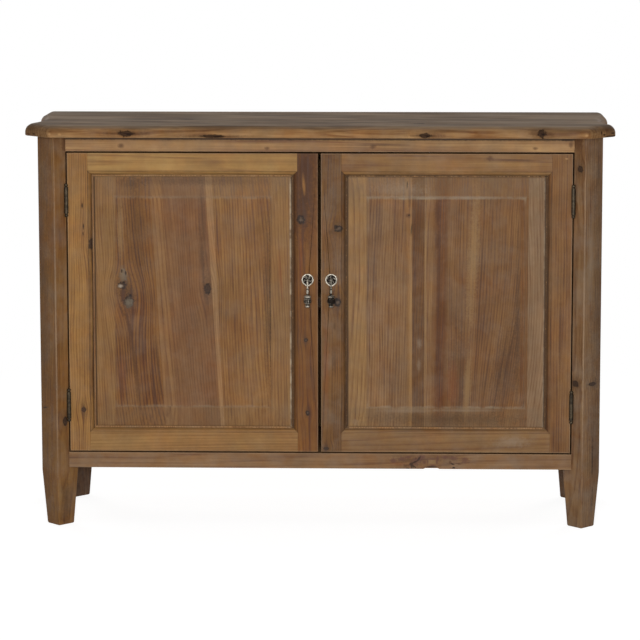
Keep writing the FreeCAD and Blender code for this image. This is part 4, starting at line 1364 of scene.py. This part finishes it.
def top_marks(front: float = -203.0, corner: float = -163.0) -> tuple[Mark, ...]:
    """Lists the marks on the top board.

    Args:
        front: Y of its front edge.
        corner: Y of its canted front corners.

    Returns:
        Knots, each with its streak and crack, and chips along the front edge; two knots on the upper side and
        painted shade on the rounded end of the back right corner; painted shade on the ends of the front
        corners and along their lower edge, with cracks and stains.
    """
    rows = []
    for x, z, wide, high in ((-391, 823, 20, 7), (-214, 818, 28, 4), (217, 820, 14, 6), (452, 824, 10, 10)):
        rows += [(STREAK, x, z, 3.2 * wide, 0.5 * high), (KNOT, x, z, wide, high),
                 (CRACK, x + 0.3 * wide, z - 1, 0.4 * wide, 0.4 * high)]
    chips = face_marks(*((CHIP, x, 821, 5.5, 3.6) for x in (-547, -526, 543)), depth=(front + 8, 30.0))
    # The shade at the back right corner is painted shade on its rounded end.
    upper = (Mark(KNOT, (-280, -20, 838), (16, 9, 20)), Mark(KNOT, (205, -120, 838), (12, 8, 20)),
             Mark(SHADE, (588, 175, 830), (26, 40, 30)))
    # At the front corners the shades and the dark line along the lower edge are painted shade; the cracks and
    # blushes are marks in the wood.
    corners = face_marks(
        (SHADE, 594, 826, 16, 12), (CRACK, 574, 824, 2.4, 6), (CRACK, 580, 820, 3.5, 2.4),
        (GRIME, 594, 816, 16, 2.6), (CRACK, 599, 822, 5, 1.8), (BLUSH, 586, 829, 5, 4),
        (SHADE, -592, 826, 18, 12), (BLUSH, -597, 818, 8, 4), (CRACK, -583, 819, 4, 1.6),
        depth=(corner, 32.0))
    return face_marks(*rows, depth=(front, 30.0)) + chips + upper + corners


def front_boards() -> list[Board]:
    """Lists the carcase's front boards as the photograph shows them.

    Returns:
        The two posts, the top rail and the bottom rail.
    """
    # On both posts the long shade down the outer face and the dark patch high on the inner face, under the top,
    # are painted shade; the pale line down the arris is wear and a painted highlight.
    left_post = Board("front_left_post", ALONG_Z, "#79562e", (60.0, -50.0), seed=12.2, grey=0.3, worn=0.0,
                      marks=face_marks(
        (SHADE, -571, 248, 10, 4, -20), (CRACK, -572, 246, 7, 1.2, -18), (KNOT, -528, 220, 5, 11),
        (BLUSH, -522, 800, 8, 34), (SHADE, -530, 60, 13, 56), (SHADE, -575, 420, 25, 900))
        + (Mark(RUB, (-543, -174, 430), (3.6, 3.6, 420)),) + face_marks((TAN, -540, 74, 5, 36)))
    right_post = Board("front_right_post", ALONG_Z, "#7d6041", (-60.0, -50.0), seed=13.8, grey=0.4, worn=0.0,
                       marks=face_marks(
        (BLUSH, 527, 806, 13, 26), (KNOT, 533, 749, 6, 8), (SHADE, 571, 742, 5, 36),
        (SHADE, 574, 420, 23, 900), (BLOOM, 556, 560, 8, 120), (KNOT, 528, 304, 7, 8),
        (KNOT, 563, 303, 10, 4.5), (CRACK, 565, 148, 1.3, 58), (CRACK, 566, 60, 1.0, 30))
        + (Mark(RUB, (543, -174, 430), (3.4, 3.4, 420)),))
    # The long dark patch along its upper edge, at height 810, is a painted shadow under the top's overhang.
    top_rail = Board("front_top_rail", ALONG_X, "#a18056", (25.0, 95.0), (0.8, 0.0), 5.6, 14.4, 0.2,
                     figure=1.0, stretch=2.4, marks=face_marks(
        (BLUSH, -407, 794, 8, 6), (BLUSH, -107, 789, 7, 4), (BLUSH, 110, 793, 9, 6),
        (BLUSH, 441, 790, 7, 4), (SHADE, 130, 797, 60, 4), (GRIME, 0, 810, 9000, 5),
        (GRIME, 505, 808, 15, 4), (BLUSH, 514, 798, 6, 8)))
    bottom_rail = Board("front_bottom_rail", ALONG_X, "#836342", (-15.0, 80.0), (1.6, 0.0), 5.4, 15.1, 0.3,
                        figure=1.0, stretch=2.0, marks=face_marks(
        (SHADE, 228, 140, 90, 18), (BARK, 171, 143, 11, 6), (BARK, 153, 140, 9, 7),
        (BARK, 213, 147, 8, 6), (BARK, 278, 145, 12, 5), (BARK, 301, 141, 9, 9), (BARK, 184, 147, 9, 4),
        (BARK, 245, 144, 3.5, 8), (BARK, 217, 136, 5, 5), (RED, 165, 132, 24, 6), (TAN, 232, 138, 12, 8),
        (BARK, 234, 143, 10, 2.4), (BARK, 260, 147, 8, 5), (BARK, 224, 138, 2.6, 7),
        (BARK, 234, 130, 8, 2.2), (BARK, 243, 137, 2.4, 6), (BARK, 200, 138, 20, 9, -40),
        (GRIME, 206, 143.5, 7.5, 2.6, -55), (GRIME, 198.5, 137, 7.5, 2.4, -27),
        (GRIME, 190, 133, 5.5, 2.8, -25), (GRIME, 190.5, 127.5, 5.5, 1.8, 74),
        (GRIME, 196.5, 127.5, 6.5, 2.0, 45), (GRIME, 193.5, 128, 5, 1.6, 60), (BLUSH, 179, 128.5, 8, 4.5),
        (CRACK, 183, 123.5, 5, 1.6), (BLUSH, 199.5, 144, 3, 3), (BLUSH, 271, 136.5, 4, 4.4),
        (CRACK, 276, 132.5, 5, 2.0, 15), (BLUSH, 288, 133.5, 8, 2.4, 10), (CRACK, 278, 125, 3.6, 2.2),
        (CRACK, 232, 127.5, 15, 1.5)))
    return [left_post, right_post, top_rail, bottom_rail]


def carcase() -> Carcase:
    """Lists the boards that stand still.

    Returns:
        The carcase.
    """
    top = Board("top_board", ALONG_X, "#95744e", (60.0, 35.0), (0.8, 0.0), 5.0, 11.6, 0.25, 0.25, top_marks())
    outside = front_boards()
    for number, (node, grain) in enumerate((
            ("back_left_post", ALONG_Z), ("back_right_post", ALONG_Z), ("back_top_rail", ALONG_X),
            ("back_bottom_rail", ALONG_X), ("left_side_top_rail", ALONG_Y), ("right_side_top_rail", ALONG_Y),
            ("left_side_bottom_rail", ALONG_Y), ("right_side_bottom_rail", ALONG_Y))):
        # The back posts' darker tone is painted shade, as they stand out of the front light.
        tone = "#614731" if node.endswith("post") else "#84613f"
        outside.append(Board(node, grain, tone, (-70.0, 40.0), ring=5.2, seed=17.0 + 2.3 * number, grey=0.3))
    for side in Side:
        at = side.value * 560.0
        outside.append(Board(f"{side.word}_side_panel", ALONG_Z, "#856240", (20.0, 60.0), (1.5, 0.0), 6.0,
                             41.0 + side.value * 2.8, 0.25, marks=(
                                 Mark(EYE, (at, -40.0, 560.0), (THROUGH, 11.0, 13.0)),
                                 Mark(KNOT, (at, 62.0, 300.0), (THROUGH, 9.0, 11.0)),
                                 Mark(STREAK, (at, 20.0, 430.0), (THROUGH, 7.0, 190.0)))))
    inside = []
    for number, (node, grain) in enumerate((
            ("back_boards", ALONG_Z), ("bottom_board", ALONG_X), ("shelf", ALONG_X),
            ("bottom_cleats", ALONG_Y), ("left_shelf_cleat", ALONG_Y), ("right_shelf_cleat", ALONG_Y),
            ("top_fixing_blocks", ALONG_X))):
        # On the shelf's front edge, behind the gap between the doors, a dark patch is painted shade that makes
        # the gap look dark.
        darkening = (Mark(CRACK, (-3.0, -113.0, 465.0), (11.0, 8.0, 15.0)),) if node == "shelf" else ()
        inside.append(Board(node, grain, "#9c7953", (30.0, 55.0), (1.0, 0.0), 6.5, 61.0 + 3.1 * number,
                            0.15, 0.3, darkening))
    return Carcase(top, tuple(outside), tuple(inside))


@dataclass(frozen=True)
class Softbox:
    """A square white studio light.

    Attributes:
        name: Its name.
        at: Where it stands.
        width: Its width and height.
        power: Its power in watts.
    """

    name: str
    at: Triple
    width: float
    power: float

    def build(self, aim: Triple) -> None:
        """Stands the light and turns it to what it lights.

        Args:
            aim: The point that it faces.
        """
        lamp = bpy.data.lights.new(self.name, "AREA")
        lamp.shape = "SQUARE"
        lamp.size = self.width * MM
        lamp.energy = self.power
        made = new_object(self.name, lamp)
        made.location = Vector(self.at) * MM
        made.rotation_euler = (Vector(self.at) - Vector(aim)).to_track_quat("Z", "Y").to_euler()


@dataclass
class Studio:
    """Floor, surroundings, lights and camera.

    Attributes:
        floor_half: Half the width of the floor.
        floor_fade: Metres from the middle at which the floor starts to shade to white, and where it is white.
        floor_paint: Colour of the floor to the light that it throws back.
        floor_glow: How bright it looks near the object, in full shade.
        floor_lit: Colour with which it shows light and shadow there.
        aim: What the lights face.
        softboxes: The lights.
        surround: How bright the surroundings are to the object.
        camera_at: Where the camera stands.
        yaw: Degrees that it turns left of straight ahead.
        pitch: Degrees that it looks up.
        lens: Focal length.
        sensor: Width of the sensor.
        shift: Lens shift across and up, in shares of the frame.
    """

    floor_half: float = 6000.0
    floor_fade: tuple[float, float] = (0.7, 1.9)
    floor_paint: str = "#dcdcdc"
    floor_glow: float = 0.87
    floor_lit: str = "#8a8a8a"
    aim: Triple = (0.0, 0.0, 430.0)
    softboxes: tuple[Softbox, ...] = (
        Softbox("key_softbox", (100.0, -4300.0, 1350.0), 900.0, 88.0),
        Softbox("fill_softbox", (300.0, -4300.0, 1100.0), 3000.0, 47.0),
        Softbox("top_softbox", (0.0, -300.0, 3300.0), 2600.0, 12.0),
        Softbox("left_rear_softbox", (-2700.0, 3500.0, 1600.0), 2000.0, 60.0),
        Softbox("right_rear_softbox", (2700.0, 3500.0, 1600.0), 2000.0, 60.0))
    surround: float = 0.3
    camera_at: Triple = (197.5, -5630.2, 1288.4)
    yaw: float = 1.502
    pitch: float = -7.496
    lens: float = 151.21
    sensor: float = 36.0
    shift: tuple[float, float] = (-0.04, -0.1)

    @staticmethod
    def _seen(coat: Coat) -> Socket:
        """Picks out the rays of the eye, of mirrors and of glass.

        Args:
            coat: The nodes of the floor or the world.

        Returns:
            1 for such a ray, and 0 for one that carries light.
        """
        rays = coat.add("LightPath").node.outputs
        seen = coat.add("Math:ADD", rays["Is Camera Ray"], rays["Is Glossy Ray"])
        return coat.add("Math:ADD", seen, rays["Is Transmission Ray"], use_clamp=True)

    def floor(self) -> None:
        """Lays the floor, a pale sheet that shades to white away from the object."""
        side = np.array([-1.0, 1.0]) * self.floor_half * MM
        across, deep = np.meshgrid(side, side)
        mesh = bpy.data.meshes.new("pale_floor")
        corners = np.stack([across, deep, 0 * across], -1).reshape(-1, 3)
        mesh.from_pydata(corners.tolist(), [], [[0, 1, 3, 2]])
        made = new_object("pale_floor", mesh)
        coat = Coat(bpy.data.materials.new("Matt white painted floor"))
        add = coat.add
        reach = add("VectorMath:LENGTH", coat.place, pick="Value")
        far = add("MapRange", reach, *self.floor_fade, 0.0, 1.0, interpolation_type="SMOOTHSTEP")
        paint = add("BsdfDiffuse", linear(self.floor_paint))
        near = add("AddShader", add("Emission", linear(WHITE), self.floor_glow),
                   add("BsdfDiffuse", linear(self.floor_lit)))
        shown = add("MixShader", far, near, add("Emission", linear(WHITE), 1.0))
        add("OutputMaterial", add("MixShader", self._seen(coat), paint, shown))
        dress(coat.owner, made)
        made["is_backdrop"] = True

    def surroundings(self) -> None:
        """Makes the surroundings: white to the eye and to mirrors, a softer level as light."""
        coat = Coat(bpy.data.worlds.new("white_studio"))
        level = coat.add("MapRange", self._seen(coat), 0.0, 1.0, self.surround, 1.0)
        coat.add("OutputWorld", coat.add("Background", linear(WHITE), level))
        bpy.context.scene.world = coat.owner

    def camera(self) -> None:
        """Stands the camera at the photograph's viewing angle."""
        data = bpy.data.cameras.new("photo_camera")
        data.sensor_width = self.sensor
        data.lens = self.lens
        data.shift_x, data.shift_y = self.shift
        data.clip_start, data.clip_end = 0.1, 100.0
        made = new_object("photo_camera", data)
        made.location = Vector(self.camera_at) * MM
        made.rotation_euler = (math.radians(90 + self.pitch), 0.0, math.radians(self.yaw))
        bpy.context.scene.camera = made

    def build(self) -> None:
        """Sets up the studio."""
        bpy.context.scene.view_settings.view_transform = "Standard"
        self.floor()
        self.surroundings()
        for softbox in self.softboxes:
            softbox.build(self.aim)
        self.camera()


def write_sizes() -> None:
    """Gathers the CAD box and the visual model's box as lists, which are not kept."""
    boxes = {"cad": CAD_BOX, "visual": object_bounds()}
    {name: [list(corner) for corner in box] for name, box in boxes.items()}


def main() -> None:
    """Builds the sub-assemblies in order and reports each piece."""
    logging.basicConfig(level=logging.INFO, format="%(name)s: %(message)s")
    made = carcase().build()
    for side, boards in ((Side.LEFT, left_door_boards()), (Side.RIGHT, right_door_boards())):
        made += Door(side, boards).build()
        made += DropPull(side).build()
    for name in made:
        LOG.info("dressed %s", name)
    Studio().build()
    bpy.context.view_layer.update()
    write_sizes()


if __name__ == "__main__":
    main()
